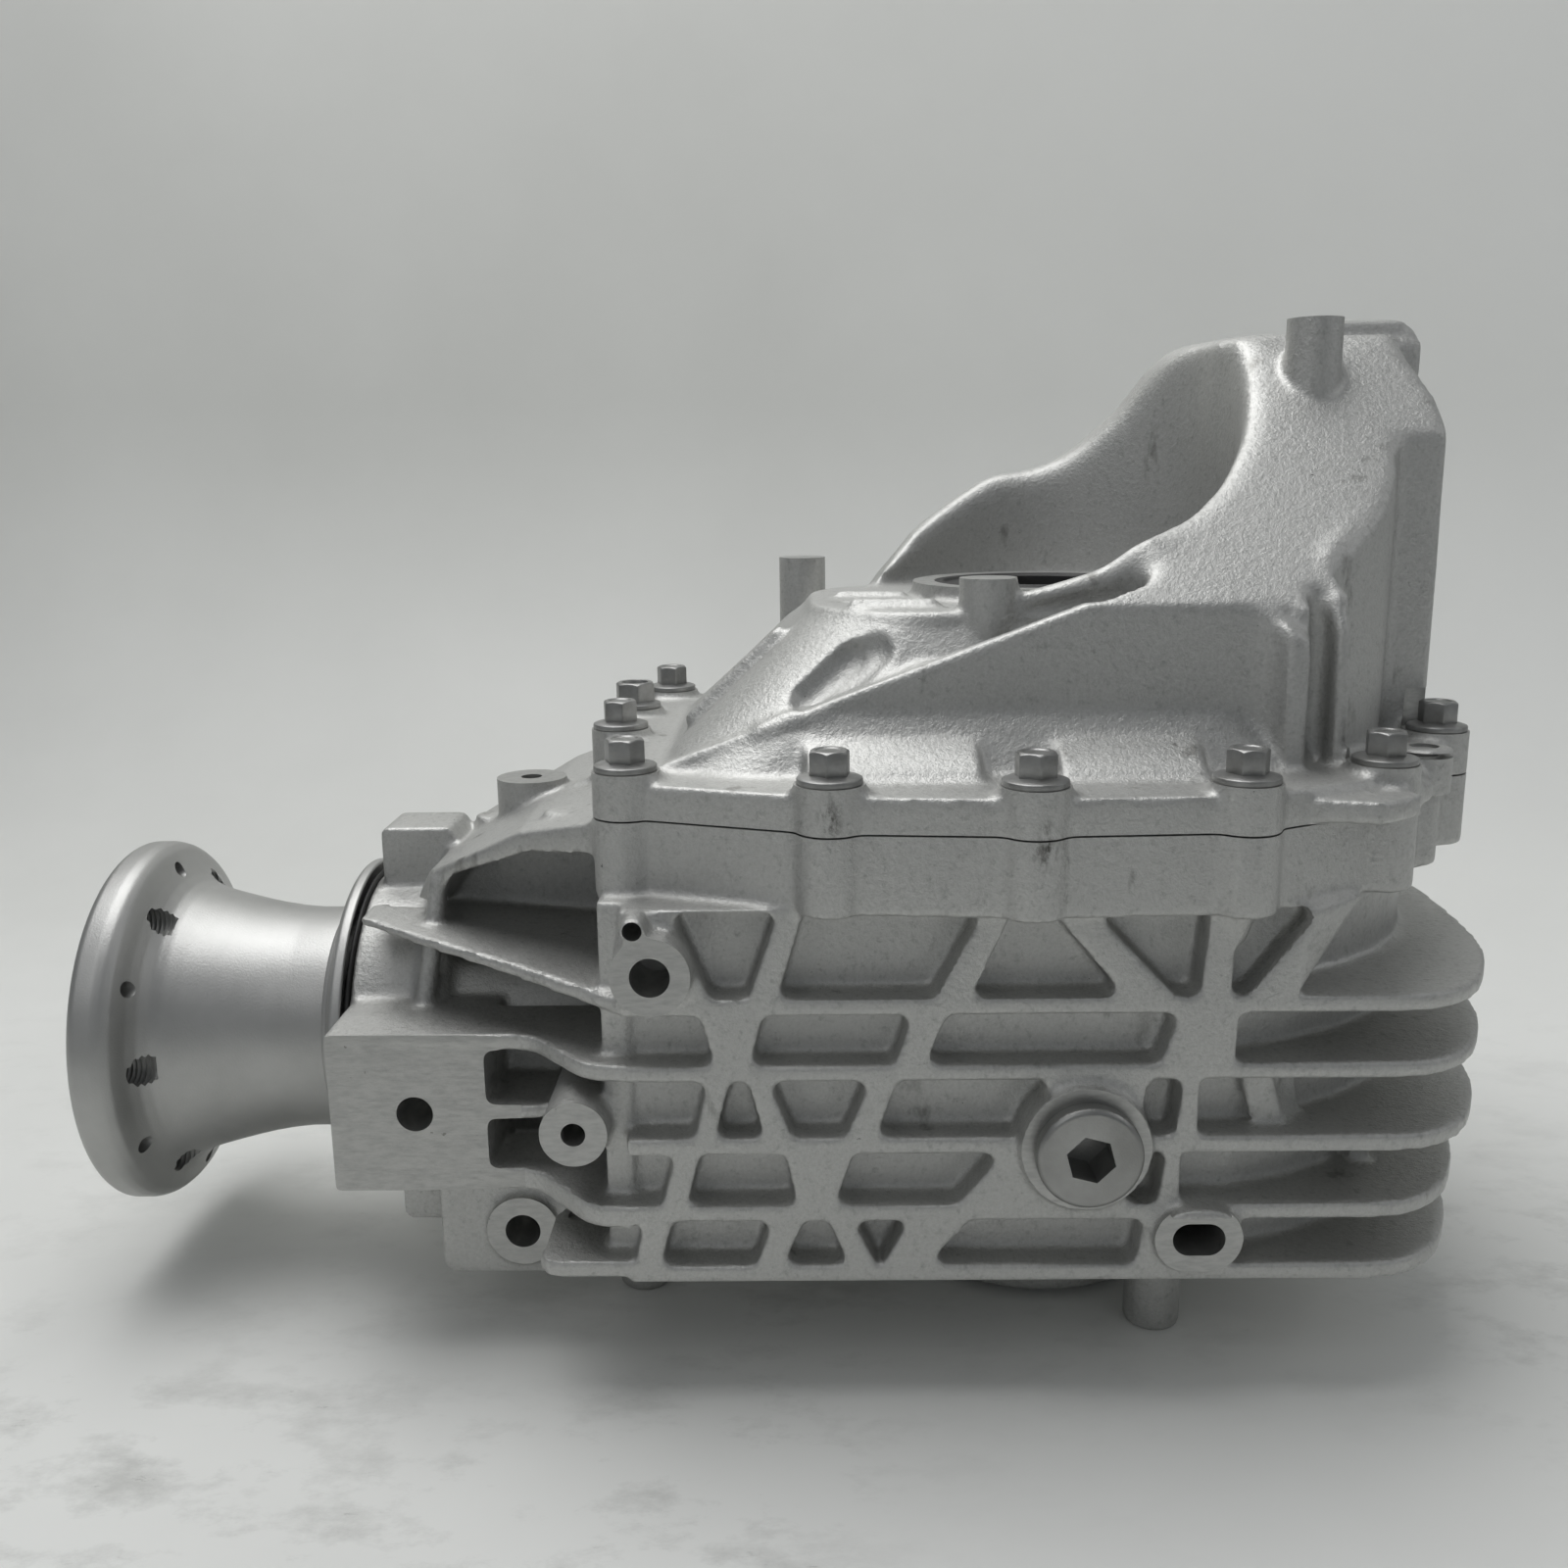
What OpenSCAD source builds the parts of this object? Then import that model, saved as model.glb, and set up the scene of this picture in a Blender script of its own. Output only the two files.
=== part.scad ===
// Rear differential: ribbed cast casing with a mounting arm on its cover, bevel drive and differential.
// Sizes are worked from the apex, where the pinion axis (X) crosses the output axis (Z).
// The pinion points to -X, the cover is up and the ribbed side faces -Y.
// The finished part is moved so that its origin is the outer face of the cover's output seal.

/* [Casing] */
// Distance from the output axis to the face of the side truss
side_y = 98; // [96:1:104]
// Depth of the truss and of the fins on the long sides
truss_depth = 10; // [8:1:13]
// Distance from the output axis to the left end of the truss
casing_left = 126.7; // [125:1:134]
// Shift of the round end of the casing away from the pinion
end_shift = 27; // [24:1:32]
// Thickness of the cast walls
wall = 5.5; // [5:0.5:7]
// Thickness of a cooling fin
fin_t = 4.8; // [4:0.2:6]
// Height of the top fin's middle
fin_top_z = 38.4; // [37:0.5:40]
// Height of the bottom fin's middle
fin_bottom_z = -40.9; // [-42:0.5:-39]
// How far the fins stand out beyond the round end
fin_reach = 15; // [12:1:22]
// Height of the surface that the casing's feet stand on
ground_z = -81; // [-90:1:-80]
// Radius of a foot
foot_r = 8.6; // [7:0.2:10]

/* [Joint of the castings] */
// Height of the split line above the pinion axis
split_z = 87.3; // [86:0.5:90]
// Height of the housing's rim below the split line
housing_rim = 22; // [18:1:24]
// Height of the cover's rim above the split line
cover_rim = 9.7; // [8:0.5:11]
// Height of the bolt seats above the split line
seat_h = 13; // [12:0.5:16]
// Radius of a bolt boss
boss_r = 9.5; // [9:0.25:10.5]
// Thread diameter of the cover bolts
bolt_d = 8; // [6:1:8]
// Thickness of the sealant line
sealant_t = 0.5; // [0.3:0.1:1]

/* [Nose] */
// Distance from the output axis to the end of the nose
nose_end = 218; // [214:1:222]
// Outer radius of the nose
nose_r = 50; // [48:1:52]
// Distance from the pinion axis to the face of the lug block
block_y = 74; // [70:1:78]
// Radius of the through holes in the mounting lugs
lug_hole_r = 5.4; // [4:0.2:6]
// Height of the threaded boss on top of the nose
top_boss_z = 82.8; // [80:1:86]

/* [Arm of the cover] */
// Height of the arm's top
arm_z = 222; // [216:1:226]
// Height where the arm's slope starts
slope_z = 143; // [140:1:146]
// Radius of the scoop round the output bore
scoop_r = 60; // [56:1:61]
// Radius of the jig posts
post_r = 8.5; // [7:0.5:10]
// Height of the top of the post on the arm
arm_post_z = 224.7; // [222:0.5:228]
// Radius of the cross boss at the arm's top
cross_boss_r = 13; // [11:0.5:14]

/* [Fill plug] */
// Radius of the plug's rim
plug_r = 14.6; // [13:0.2:15.5]
// Width across flats of its socket
plug_af = 12; // [10:1:14]
// Thread radius of the plug
plug_thread_r = 9; // [7:0.5:10]

/* [Companion flange] */
// Outer radius of the flange
flange_r = 60; // [58:1:64]
// Thickness of the flange's rim
flange_t = 12; // [10:1:14]
// Distance from the output axis to the flange's face
flange_x = 302; // [298:1:306]
// Outer radius of the hub behind the rim
hub_r = 38; // [36:0.5:40]
// Radius of the bolt circle
flange_pcr = 47; // [46:0.5:49]
// Core radius of the threaded holes
flange_hole_r = 4.25; // [4:0.25:5]
// Radius of the bore in its face that centres the shaft
pilot_r = 30; // [29:0.5:32]
// Depth of that bore
pilot_depth = 15; // [10:1:16]
// Outer radius of the dust shield
shield_r = 53.5; // [52:0.5:56]

/* [Gears] */
// Teeth of the ring gear
ring_teeth = 41; // [41:1:41]
// Teeth of the pinion
pinion_teeth = 13; // [13:1:13]
// Pitch radius of the ring gear at its outer end
ring_r = 76; // [74:0.5:77]
// Width of the ring gear's teeth
face_w = 25; // [20:1:26]
// Spiral angle at the middle of the teeth
spiral = 32; // [25:1:35]
// Teeth of a side gear
side_teeth = 16; // [16:1:16]
// Teeth of a spider gear
spider_teeth = 10; // [10:1:10]
// Pitch radius of a side gear at its outer end
side_r = 28; // [27:0.5:28.5]

/* [Bearings and seals] */
// Bore radius of the carrier bearings
carrier_bore = 22.5; // [21:0.5:23]
// Outer radius of the carrier bearings
carrier_outer = 37.5; // [37:0.5:38.5]
// Width of the carrier bearings
carrier_w = 20; // [18:1:21]
// Bore radius of the pinion head bearing
head_bore = 20; // [19:0.5:21]
// Outer radius of the pinion head bearing
head_outer = 40; // [39:0.5:41]
// Width of the pinion head bearing
head_w = 23; // [20:1:24]
// Bore radius of the pinion tail bearing
tail_bore = 17.5; // [16.5:0.5:18.5]
// Outer radius of the pinion tail bearing
tail_outer = 36; // [35:0.5:37]
// Width of the pinion tail bearing
tail_w = 19; // [17:1:20]
// Outer radius of the output seals
seal_outer = 33.7; // [33:0.1:35]
// Lip radius of the output seals
seal_lip = 20; // [18:0.5:21]
// Height of the cover's output seal face above the pinion axis
seal_face_z = 145.7; // [145:0.5:149]
// Radial clearance of pressed and sliding fits inside one body
fit_gap = 0.03; // [0.02:0.01:0.1]
// Clearance between parts that turn past each other
run_gap = 0.25; // [0.2:0.05:0.4]

/* [Hidden] */
$fn = 64;

// Places of the joint's bolts: the near side, the end, the far side and the nose end in turn
near_bolts = [
    [-casing_left + 0.9, -side_y + 21.9],
    [-69.8, -side_y + 2],
    [-16.6, -side_y - 2.8],
    [end_shift + 11.6, -side_y - 0.5],
    [end_shift + 56.3, -side_y + 22.2],
    [end_shift + 92.2, -25.5]
];
far_bolts = [for (i = [len(near_bolts) - 1:-1:0]) [near_bolts[i][0], -near_bolts[i][1]]];
nose_bolts = [[-casing_left - 8.4, 34.3], [-casing_left - 8.6, -7.4]];
rim_bolts = concat(near_bolts, far_bolts, nose_bolts);
stud_place = nose_bolts[0];
dowel_places = [[end_shift + 75.7, -side_y + 42.7], [-casing_left - 5.5, -side_y + 50]];

// Derived heights and lengths
bowl_y = side_y - truss_depth;
floor_z = fin_bottom_z - fin_t / 2 - 5;
rim_z = split_z - housing_rim;
cover_z = split_z + sealant_t;
rim_top_z = cover_z + cover_rim;
seat_z = cover_z + seat_h - sealant_t;
fin_shares = [0, 0.242, 0.511, 0.768, 1];
fin_z = [for (s = fin_shares) fin_top_z + s * (fin_bottom_z - fin_top_z)];
thread_core_r = 3.4;
rim_margin = 5.2;
rim_land = 11;

// Gear cones: the pinion and ring share one apex
ring_cone = atan(ring_teeth / pinion_teeth);
pinion_cone = 90 - ring_cone;
cone_dist = ring_r / sin(ring_cone);
ring_back_z = 45;
ring_bore_r = 47.5;
side_cone = atan(side_teeth / spider_teeth);
spider_cone = 90 - side_cone;
diff_dist = side_r / sin(side_cone);
diff_z = 13;
diff_face = 12;

// Places of the bearings along their shafts
head_x = -98;
tail_x = -nose_end + 26;
cover_bearing_z = 108;
housing_bearing_z = -46;
shim_t = 2;
seal_t = 8.5;
seal_low_z = -78;
hub_wall = 7;

roller_tilt = 12;
race_end = 2;
carrier_rollers = 17;
head_rollers = 16;
tail_rollers = 15;
sleeve_start = -head_x + head_w / 2 + 8.3;
sleeve_end = -tail_x - tail_w / 2 + race_end;
sleeve_mid = (sleeve_start + sleeve_end) / 2;

// Teeth, as shares of the module, and the spiral's constants in degrees
mesh_slim = 0.86;
ring_add = 0.5;
ring_ded = 0.95;
pinion_add = 0.75;
pinion_ded = 0.72;
ring_turn = tan(spiral) / sin(ring_cone) * 180 / PI;
pinion_turn = -tan(spiral) / sin(pinion_cone) * 180 / PI;
pinion_phase = ring_teeth % 2 == 1 ? 0 : 180 / pinion_teeth;
diff_slim = 0.8;
diff_add = 0.62;
diff_ded = 0.92;
diff_depth = diff_ded * 2 * side_r / side_teeth + 0.3;
diff_base = diff_depth + 1.5;

// Pinion shaft, ring gear bolts and the parts inside the differential case
spline_r = 17;
spline_start = -tail_x + tail_w / 2 + 12;
nut_seat_x = flange_x - 38;
spline_end = nut_seat_x - 3;
nut_thread_r = 12;
ring_bolt_n = 10;
ring_bolt_pcr = 59;
ring_bolt_r = 4.2;
case_r = ring_bore_r - fit_gap;
case_in = diff_dist + 4.5;
washer_t = 0.8;
gear_hub_r = 20;
hub_reach = 46;
pin_r = 8;
pin_end = 41;

// Cover: its plateau, scoop, posts and web
plateau_z = slope_z - 2;
scoop_place = [2, 10];
front_post = [-22.9, -49.3];
rear_post = [-76, 66];
arm_post = [82.8, 0];
post_top_z = seal_face_z + 4.4;
arm_top_y = 30.75;
cross_boss = [30, arm_z - 10];
web_y = -68;
web_t = 6;

// Helpers: rounded outlines and slabs along each axis

function unit(v) = v / norm(v);
function arc(c, r, a0, a1, n) = [
    for (i = [0:n])
        let (a = a0 + (a1 - a0) * i / n)
        c + r * [cos(a), sin(a)]
];
// A rounded corner; its radius is kept to what the shorter of its two edges can hold
function corner(a, b, c, radius, n) =
    let (
        u = unit(a - b), v = unit(c - b),
        half = acos(u * v) / 2,
        r = min(radius, 0.48 * min(norm(a - b), norm(c - b)) * tan(half)),
        m = b + unit(u + v) * r / sin(half),
        p = b + u * r / tan(half) - m,
        q = b + v * r / tan(half) - m,
        turn = atan2(p[0] * q[1] - p[1] * q[0], p * q)
    )
    [for (i = [0:n]) let (t = turn * i / n) m + [p[0] * cos(t) - p[1] * sin(t),
    p[0] * sin(t) + p[1] * cos(t)]];
function rounded(pts, r, n = 4) = [
    for (i = [0:len(pts) - 1])
        each corner(pts[(i + len(pts) - 1) % len(pts)], pts[i], pts[(i + 1) % len(pts)], r, n)
];
// Moves the edges of a convex outline, listed counter-clockwise, outwards by d
function outset(pts, d) = [
    for (i = [0:len(pts) - 1])
        let (
            a = unit(pts[i] - pts[(i + len(pts) - 1) % len(pts)]),
            b = unit(pts[(i + 1) % len(pts)] - pts[i]),
            na = [a[1], -a[0]],
            nb = [b[1], -b[0]]
        )
        pts[i] + (na + nb) * d / (1 + na * nb)
];

module slab_z(pts, z0, z1) translate([0, 0, z0]) linear_extrude(height = z1 - z0) polygon(pts);
module slab_y(pts, y0, y1)
    translate([0, y1, 0]) rotate([90, 0, 0]) linear_extrude(height = y1 - y0) polygon(pts);
module slab_x(pts, x0, x1)
    translate([x0, 0, 0]) rotate([90, 0, 90]) linear_extrude(height = x1 - x0) polygon(pts);
module rod_z(p, r, z0, z1) translate([p[0], p[1], z0]) cylinder(r = r, h = z1 - z0);
module rod_y(x, z, r, y0, y1) translate([x, y1, z]) rotate([90, 0, 0]) cylinder(r = r, h = y1 - y0);
module rod_x(y, z, r, x0, x1) translate([x0, y, z]) rotate([0, 90, 0]) cylinder(r = r, h = x1 - x0);
module round_rod(a, b, r) translate(a)
    rotate([0, acos((b - a)[2] / norm(b - a)), atan2((b - a)[1], (b - a)[0])]) {
        cylinder(r = r, h = norm(b - a));
        sphere(r = r);
        translate([0, 0, norm(b - a)]) sphere(r = r);
    }
module turned_x(pts) rotate([0, -90, 0]) rotate_extrude() polygon(pts);
module in_frame() translate([0, 0, -seal_face_z]) children();

// Outlines of the casing seen from above

function bowl_plan(inset) = let (r = bowl_y - inset, left = -casing_left - 1.3 + inset) concat(
    arc([end_shift, 0], r, -90, 90, 16),
    corner([end_shift, r], [left, r], [left, -r], 18 - inset, 4),
    corner([left, r], [left, -r], [end_shift, -r], 18 - inset, 4)
);
function fin_corner(right, s) = corner([right - 54, s * side_y], [right - 15, s * (side_y - 6)],
    [right - 3, s * (side_y - 48)], 19, 6);
function fin_plan(cut) = let (right = end_shift + bowl_y + fin_reach - cut) concat(
    [[-casing_left, -side_y], [right - 54, -side_y]],
    fin_corner(right, -1),
    [[right - 3, -side_y + 48], [right, -18], [right, 18], [right - 3, side_y - 48]],
    [for (i = [6:-1:0]) fin_corner(right, 1)[i]],
    [[right - 54, side_y], [-casing_left, side_y]]
);
rim_plan = rounded(outset(rim_bolts, rim_margin), 8, 3);
rim_inside = rounded(outset(rim_bolts, -rim_land), 10, 3);

// A solid whose walls lean from one outline to another with as many points
module draft_prism(low, high, z0, z1) {
    n = len(low);
    polyhedron(
        points = concat([for (p = low) [p[0], p[1], z0]], [for (p = high) [p[0], p[1], z1]]),
        faces = concat(
            [[for (i = [0:n - 1]) i]],
            [[for (i = [0:n - 1]) 2 * n - 1 - i]],
            [for (i = [0:n - 1]) let (j = (i + 1) % n) [i, i + n, j + n, j]]
        )
    );
}

// Housing: one sand-cored aluminium casting

// Pockets of the truss, row by row down from the rim: their corners' X at the lower and upper fin,
// in the order lower left, lower right, upper right, upper left
truss_rows = [
    [[-102.4, -92.3, -83.9, -112.8], [-84.2, -41.7, -29, -76.9], [-32.1, 9.8, -11, -21],
     [23.3, 29.7, 31.4, 0.5], [38.2, 42.5, 61, 39]],
    [[-132, -101.5, -105.5, -132], [-92, -52.4, -47.8, -88.2], [-44.1, 20, 24.5, -38.1]],
    [[-132, -107.6, -103.8, -132], [-101.9, -88.3, -92.6, -97.6], [-80.4, -66, -59.2, -87],
     [-57.3, -16.5, -9.2, -51.7], [15, 24.6, 26.3, 17]],
    [[-132, -117.3, -113, -132], [-110.2, -79.4, -82.7, -106.2], [-69, -34.8, -22.1, -63.5],
     [10.4, 20.7, 22.4, 17.6]],
    [[-132, -125.6, -122.5, -132], [-118, -91.2, -86.5, -114.4], [-82.3, -66.1, -70.7, -77.6],
     [-58.9, -53.9, -48.8, -62.2], [-43, 15.2, 17.5, -31.2]]
];
// Right edge of the truss plate in each row, at its lower and upper end
truss_ends = [[55, 75], [40, 41], [31, 31], [27, 27], [26, 26]];

// Places on the casting, as [x, z] on its near side or [x, y] from above
truss_boss = [-117.6, 50.7];
side_thread_boss = [-141, 2.5];
plug_place = [0, -2];
slot_boss = [31.9, -29.2];
block_hole = [-nose_end + 26.4, -2.7];
lug_hole = [-164.2, -47.3];
top_boss = [-166.5, 0.5];
feet = [[31, -57], [31, 57], [-130, -33]];

module truss() {
    for (row = [0:len(truss_rows) - 1]) {
        low = fin_z[row] + fin_t / 2;
        high = row == 0 ? rim_z : fin_z[row - 1] - fin_t / 2;
        end = truss_ends[row];
        difference() {
            slab_y([[-casing_left, low - 1], [end[0], low - 1], [end[1], high + 1],
                [-casing_left, high + 1]],
                -side_y, -bowl_y + wall / 2);
            for (p = truss_rows[row])
                slab_y(rounded([[p[0], low], [p[1], low], [p[2], high], [p[3], high]], 2.5, 3),
                    -side_y - 1, -bowl_y);
        }
    }
}

// Fins wrap the long sides and the round end
module fins() {
    for (i = [0:len(fin_z) - 1])
        slab_z(fin_plan(i), fin_z[i] - fin_t / 2, fin_z[i] + fin_t / 2);
}

// Short braces between the fins beside the truss, and plain ribs on the far side
module fin_braces() {
    slab_y([[48, fin_z[2]], [58, fin_z[2]], [52, fin_z[1]], [43, fin_z[1]]], -bowl_y - 3, -bowl_y + 30);
    slab_y([[82, fin_z[3]], [88, fin_z[3]], [90, fin_z[2]], [84, fin_z[2]]], -bowl_y + 14, -bowl_y + 40);
    for (x = [-casing_left + 12, -60, 0, end_shift + 22])
        slab_y([[x - 3.5, fin_bottom_z], [x + 3.5, fin_bottom_z], [x + 3.5, rim_z + 1],
            [x - 3.5, rim_z + 1]],
            bowl_y - 2, side_y);
}

// Plan of a shelf that swings from the lug block out to the truss
shelf_plan = concat(
    [[-casing_left + 1, -50], [-172, -50], [-172, -block_y]],
    corner([-172, -block_y], [-157, -block_y], [-casing_left - 11, -side_y + 1.5], 14, 4),
    corner([-157, -block_y], [-casing_left - 11, -side_y + 1.5], [-casing_left + 1, -side_y], 14, 4),
    [[-casing_left + 1, -side_y]]
);

module lug_block() {
    slab_z(rounded([[-nose_end + 1, -block_y], [-170, -block_y], [-170, -20],
        [-nose_end + 1, -20]], 1.2, 2),
        -27, 22);
    slab_z(shelf_plan, fin_z[1] - fin_t / 2, 22);
    slab_z(shelf_plan, -27, fin_z[3] + fin_t / 2);
    slab_z([[-casing_left, -block_y], [-172, -block_y], [-172, -40], [-casing_left, -40]],
        fin_z[2] - 2.2, fin_z[2] + 2.2);
    // bottom fin's free end
    slab_z(rounded([[-casing_left + 1, -side_y], [-casing_left + 1, -50], [-145, -70],
        [-149, -side_y]], 2, 2),
        fin_bottom_z - 1, fin_bottom_z + 4);
}

// The nose holds both pinion bearings: turned outline, then its lugs and ribs
module nose() {
    turned_x([[0, 84], [nose_r + 4, 100], [nose_r + 4, 128], [nose_r - 1, nose_end - 58],
        [nose_r - 2, nose_end - 32], [nose_r + 2.2, nose_end - 30], [nose_r + 2.2, nose_end - 22],
        [nose_r, nose_end - 19], [nose_r, nose_end], [0, nose_end]]);
    // sloped roof that carries the joint's nose end
    intersection() {
        slab_y([[-197, 52], [-192, 61.4], [-160, 78.5], [-134, split_z - 1.5], [-110, split_z - 1.5],
            [-110, 77], [-157, 69.5], [-183, 59], [-190, 48]], -90, 90);
        slab_z([[-197, -36], [-180, -49], [-159, -60], [-134, -78], [-110, -78],
            [-110, 78], [-134, 78], [-159, 60], [-180, 49], [-197, 36]], 40, split_z);
    }
    slab_y([[-192, 30], [-192, 54], [-157, 74], [-110, 80], [-110, 30]], -34, 34);
    // gussets from the nose to the top fin on both sides
    for (s = [-1, 1])
        intersection() {
            slab_y([[-casing_left + 1, fin_z[0] - fin_t / 2], [-casing_left + 1, fin_z[0] + fin_t / 2],
                [-213, 48.5], [-213, 46]], -100, 100);
            scale([1, s, 1]) slab_z([[-casing_left + 1, -30], [-213, -30], [-213, -44], [-189, -59],
                [-161, -75], [-casing_left + 1, -side_y]], 20, 60);
        }
    // corner posts of the casing's nose end
    for (s = [-1, 1])
        scale([1, s, 1]) slab_z([[-casing_left - 6.8, -60], [-casing_left - 6.8, -bowl_y - 2],
            [-casing_left + 1, -bowl_y - 2], [-casing_left + 1, -60]], fin_bottom_z, rim_z + 1);
    // upper lug, clip bosses and the threaded boss
    slab_y(rounded([[-214.5, 40], [-188, 40], [-188, 63], [-192, 68.5], [-214.5, 68.5]], 2, 3), -12, 12);
    rod_z(top_boss, 11.4, 60, top_boss_z);
    rod_z([-181, 8], 6.5, 55, 68.5);
    rod_z([-149, -47], 5.5, 70, 82.5);
    // lower lugs
    slab_y(rounded([[-190, -62.5], [-153, -62.5], [-150, -50], [-150, -24],
        [-190, -24]], 4, 3), -60, -18);
    rod_y(lug_hole[0], lug_hole[1], 13.5, -62, -40);
    slab_y(rounded([[-207, -55], [-188, -55], [-188, -20], [-207, -20]], 2, 2), -40, -10);
    rod_y(-178, 20, 9, 40, 66);
}

module side_bosses() {
    rod_y(truss_boss[0], truss_boss[1], 9.75, -side_y - 9, -60);
    rod_y(side_thread_boss[0], side_thread_boss[1], 9.5, -side_y - 1, -46);
    rod_y(plug_place[0], plug_place[1], plug_r + 3.6, -side_y - 1, -bowl_y + 2);
    rod_y(plug_place[0], plug_place[1], plug_r + 1.4, -side_y - 3, -side_y);
    slab_y(concat(arc([slot_boss[0] + 2.5, slot_boss[1]], 9.8, -90, 90, 10),
        arc([slot_boss[0] - 2.5, slot_boss[1]], 9.8, 90, 270, 10)), -side_y - 3, -bowl_y + 2);
}

// Underside: hub of the lower output bearing, radial ribs and feet
module underside() {
    rod_z([0, 0], seal_outer + hub_wall + 6, seal_low_z, floor_z + 1);
    rod_z([0, 0], carrier_outer + hub_wall, floor_z, housing_bearing_z + carrier_w / 2 + 1);
    for (a = [30:60:330])
        rotate([0, 0, a]) slab_y([[30, floor_z + 1], [30, floor_z - 20], [bowl_y - 8, floor_z - 3],
            [bowl_y - 8, floor_z + 1]], -3.5, 3.5);
    for (p = feet)
        rod_z(p, foot_r, ground_z, floor_z + 2);
    slab_y([[-168, floor_z - 8], [-120, floor_z - 12], [-40, floor_z - 12], [-40, floor_z + 1],
        [-168, -40]],
        -3.5, 3.5);
}

// Inside of the casting: ring gear chamber and the two side galleries beside the pinion tube
module housing_hollow() {
    chamber_low = floor_z + wall;
    slab_z(concat(arc([end_shift, 0], bowl_y - wall, -90, 90, 16), arc([0, 0], bowl_y - wall, 90,
        270, 16)),
        chamber_low, split_z + 1);
    difference() {
        slab_z(rounded([[-casing_left + 6, -bowl_y + wall], [0, -bowl_y + wall], [0, bowl_y - wall],
            [-casing_left + 6, bowl_y - wall]], 10, 3), chamber_low, rim_z - 2);
        rod_x(0, 0, head_outer + hub_wall, -140, 0);
    }
    slab_z(rim_inside, rim_z - 2, split_z + 1);
}

module pinion_tube_bores() {
    rod_x(0, 0, head_outer + fit_gap, head_x - head_w / 2 - shim_t, 0);
    rod_x(0, 0, head_outer - 6, -nose_end + 10, head_x);
    rod_x(0, 0, tail_outer + fit_gap, -nose_end - 1, tail_x + tail_w / 2);
    rod_x(0, 0, nose_r - 7, -nose_end - 1, tail_x - tail_w / 2 - 3);
}

module housing() color("silver") in_frame() difference() {
    union() {
        difference() {
            union() {
                slab_z(bowl_plan(0), floor_z, rim_z + 1);
                slab_z(rim_plan, rim_z, split_z);
                for (p = rim_bolts)
                    rod_z(p, boss_r, rim_z, split_z);
                fins();
                nose();
            }
            housing_hollow();
        }
        truss();
        fin_braces();
        lug_block();
        side_bosses();
        underside();
    }
    hub_bores();
    pinion_tube_bores();
    // tapped holes for the cover bolts, dowel holes
    for (p = rim_bolts)
        rod_z(p, bolt_d / 2 + fit_gap, split_z - 19, split_z + 1);
    for (p = dowel_places)
        rod_z(p, 4 + fit_gap, split_z - 9, split_z + 1);
    // holes on the near side
    rod_y(truss_boss[0], truss_boss[1], lug_hole_r, -side_y - 10, -side_y + 12);
    rod_y(side_thread_boss[0], side_thread_boss[1], thread_core_r, -side_y - 2, -side_y + 20);
    rod_y(truss_boss[0] - 4.2, truss_boss[1] + 12.8, 2.6, -side_y - 10, -side_y + 7);
    rod_y(block_hole[0], block_hole[1], lug_hole_r, -block_y - 1, -block_y + 21);
    rod_y(lug_hole[0], lug_hole[1], lug_hole_r, -63, -17);
    rod_y(plug_place[0], plug_place[1], plug_thread_r + fit_gap, -side_y - 4, -bowl_y + wall + 1);
    slab_y(concat(arc([slot_boss[0] + 2.5, slot_boss[1]], 4.8, -90, 90, 8),
        arc([slot_boss[0] - 2.5, slot_boss[1]], 4.8, 90, 270, 8)), -side_y - 4, -side_y + 8);
    rod_z(top_boss, thread_core_r, top_boss_z - 18, top_boss_z + 1);
}

module hub_bores() {
    rod_z([0, 0], carrier_outer + fit_gap, housing_bearing_z - carrier_w / 2 - shim_t, floor_z + 40);
    rod_z([0, 0], seal_lip + 8, seal_low_z - 1, floor_z + 40);
    rod_z([0, 0], seal_outer + fit_gap, seal_low_z - 1, seal_low_z + seal_t);
}

// Cover: cast aluminium, with the tall mounting arm round the output bore

dome_low = rounded([[-casing_left + 7, -79], [74, -79], [74, 79], [-casing_left + 7, 79]], 30, 12);
dome_high = rounded([[-72, -52], [56, -52], [56, 52], [-72, 52]], 34, 12);
// Ends of the groove's middle line in the dome's near slope, and its radius
groove = [[-57, -60, 132], [-79, -69.5, 115]];
groove_r = 7;

// Plan of the arm, its silhouette from the front and its slope seen from the end
arm_plan = [
    [2, web_y], [58, web_y], [61, web_y - 2], [64, web_y - 1], [77, web_y + 3], [78, web_y + 12],
    [88, -38], [97, -29], [104, -20], [108, -9], [122, -9], [125, -6], [127, 0],
    [127, 42], [112, 62], [60, 84], [30, 84], [2, 82], [-30, 76], [-54, 60], [-62, 40],
    [-60, 20], [20, 20], [20, -48], [20, -60]
];
// Height on the arm, as a share of the way from the start of its slope to its top
function arm_h(share) = slope_z + share * (arm_z - slope_z);
arm_face = [
    [-58, 90], [-54, slope_z - 5], [-49, arm_h(0.013)], [-36, arm_h(0.208)], [-20, arm_h(0.354)],
    [-8, arm_h(0.449)], [-2, arm_h(0.468)], [4, arm_h(0.462)], [16.5, arm_h(0.511)],
    [27, arm_h(0.595)], [38, arm_h(0.727)], [47, arm_h(0.899)], [52, arm_h(0.968)], [58, arm_z],
    [106, arm_z], [113.4, arm_h(0.827)], [123.4, arm_h(0.6)], [126, slope_z - 2], [131, 114], [131, 90]
];
arm_side = [
    [web_y - 3, 90], [web_y - 3, slope_z], [web_y, slope_z],
    [arm_top_y, arm_z], [62, arm_z], [70, arm_z - 6], [90, arm_z - 40],
    [90, 90]
];

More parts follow.
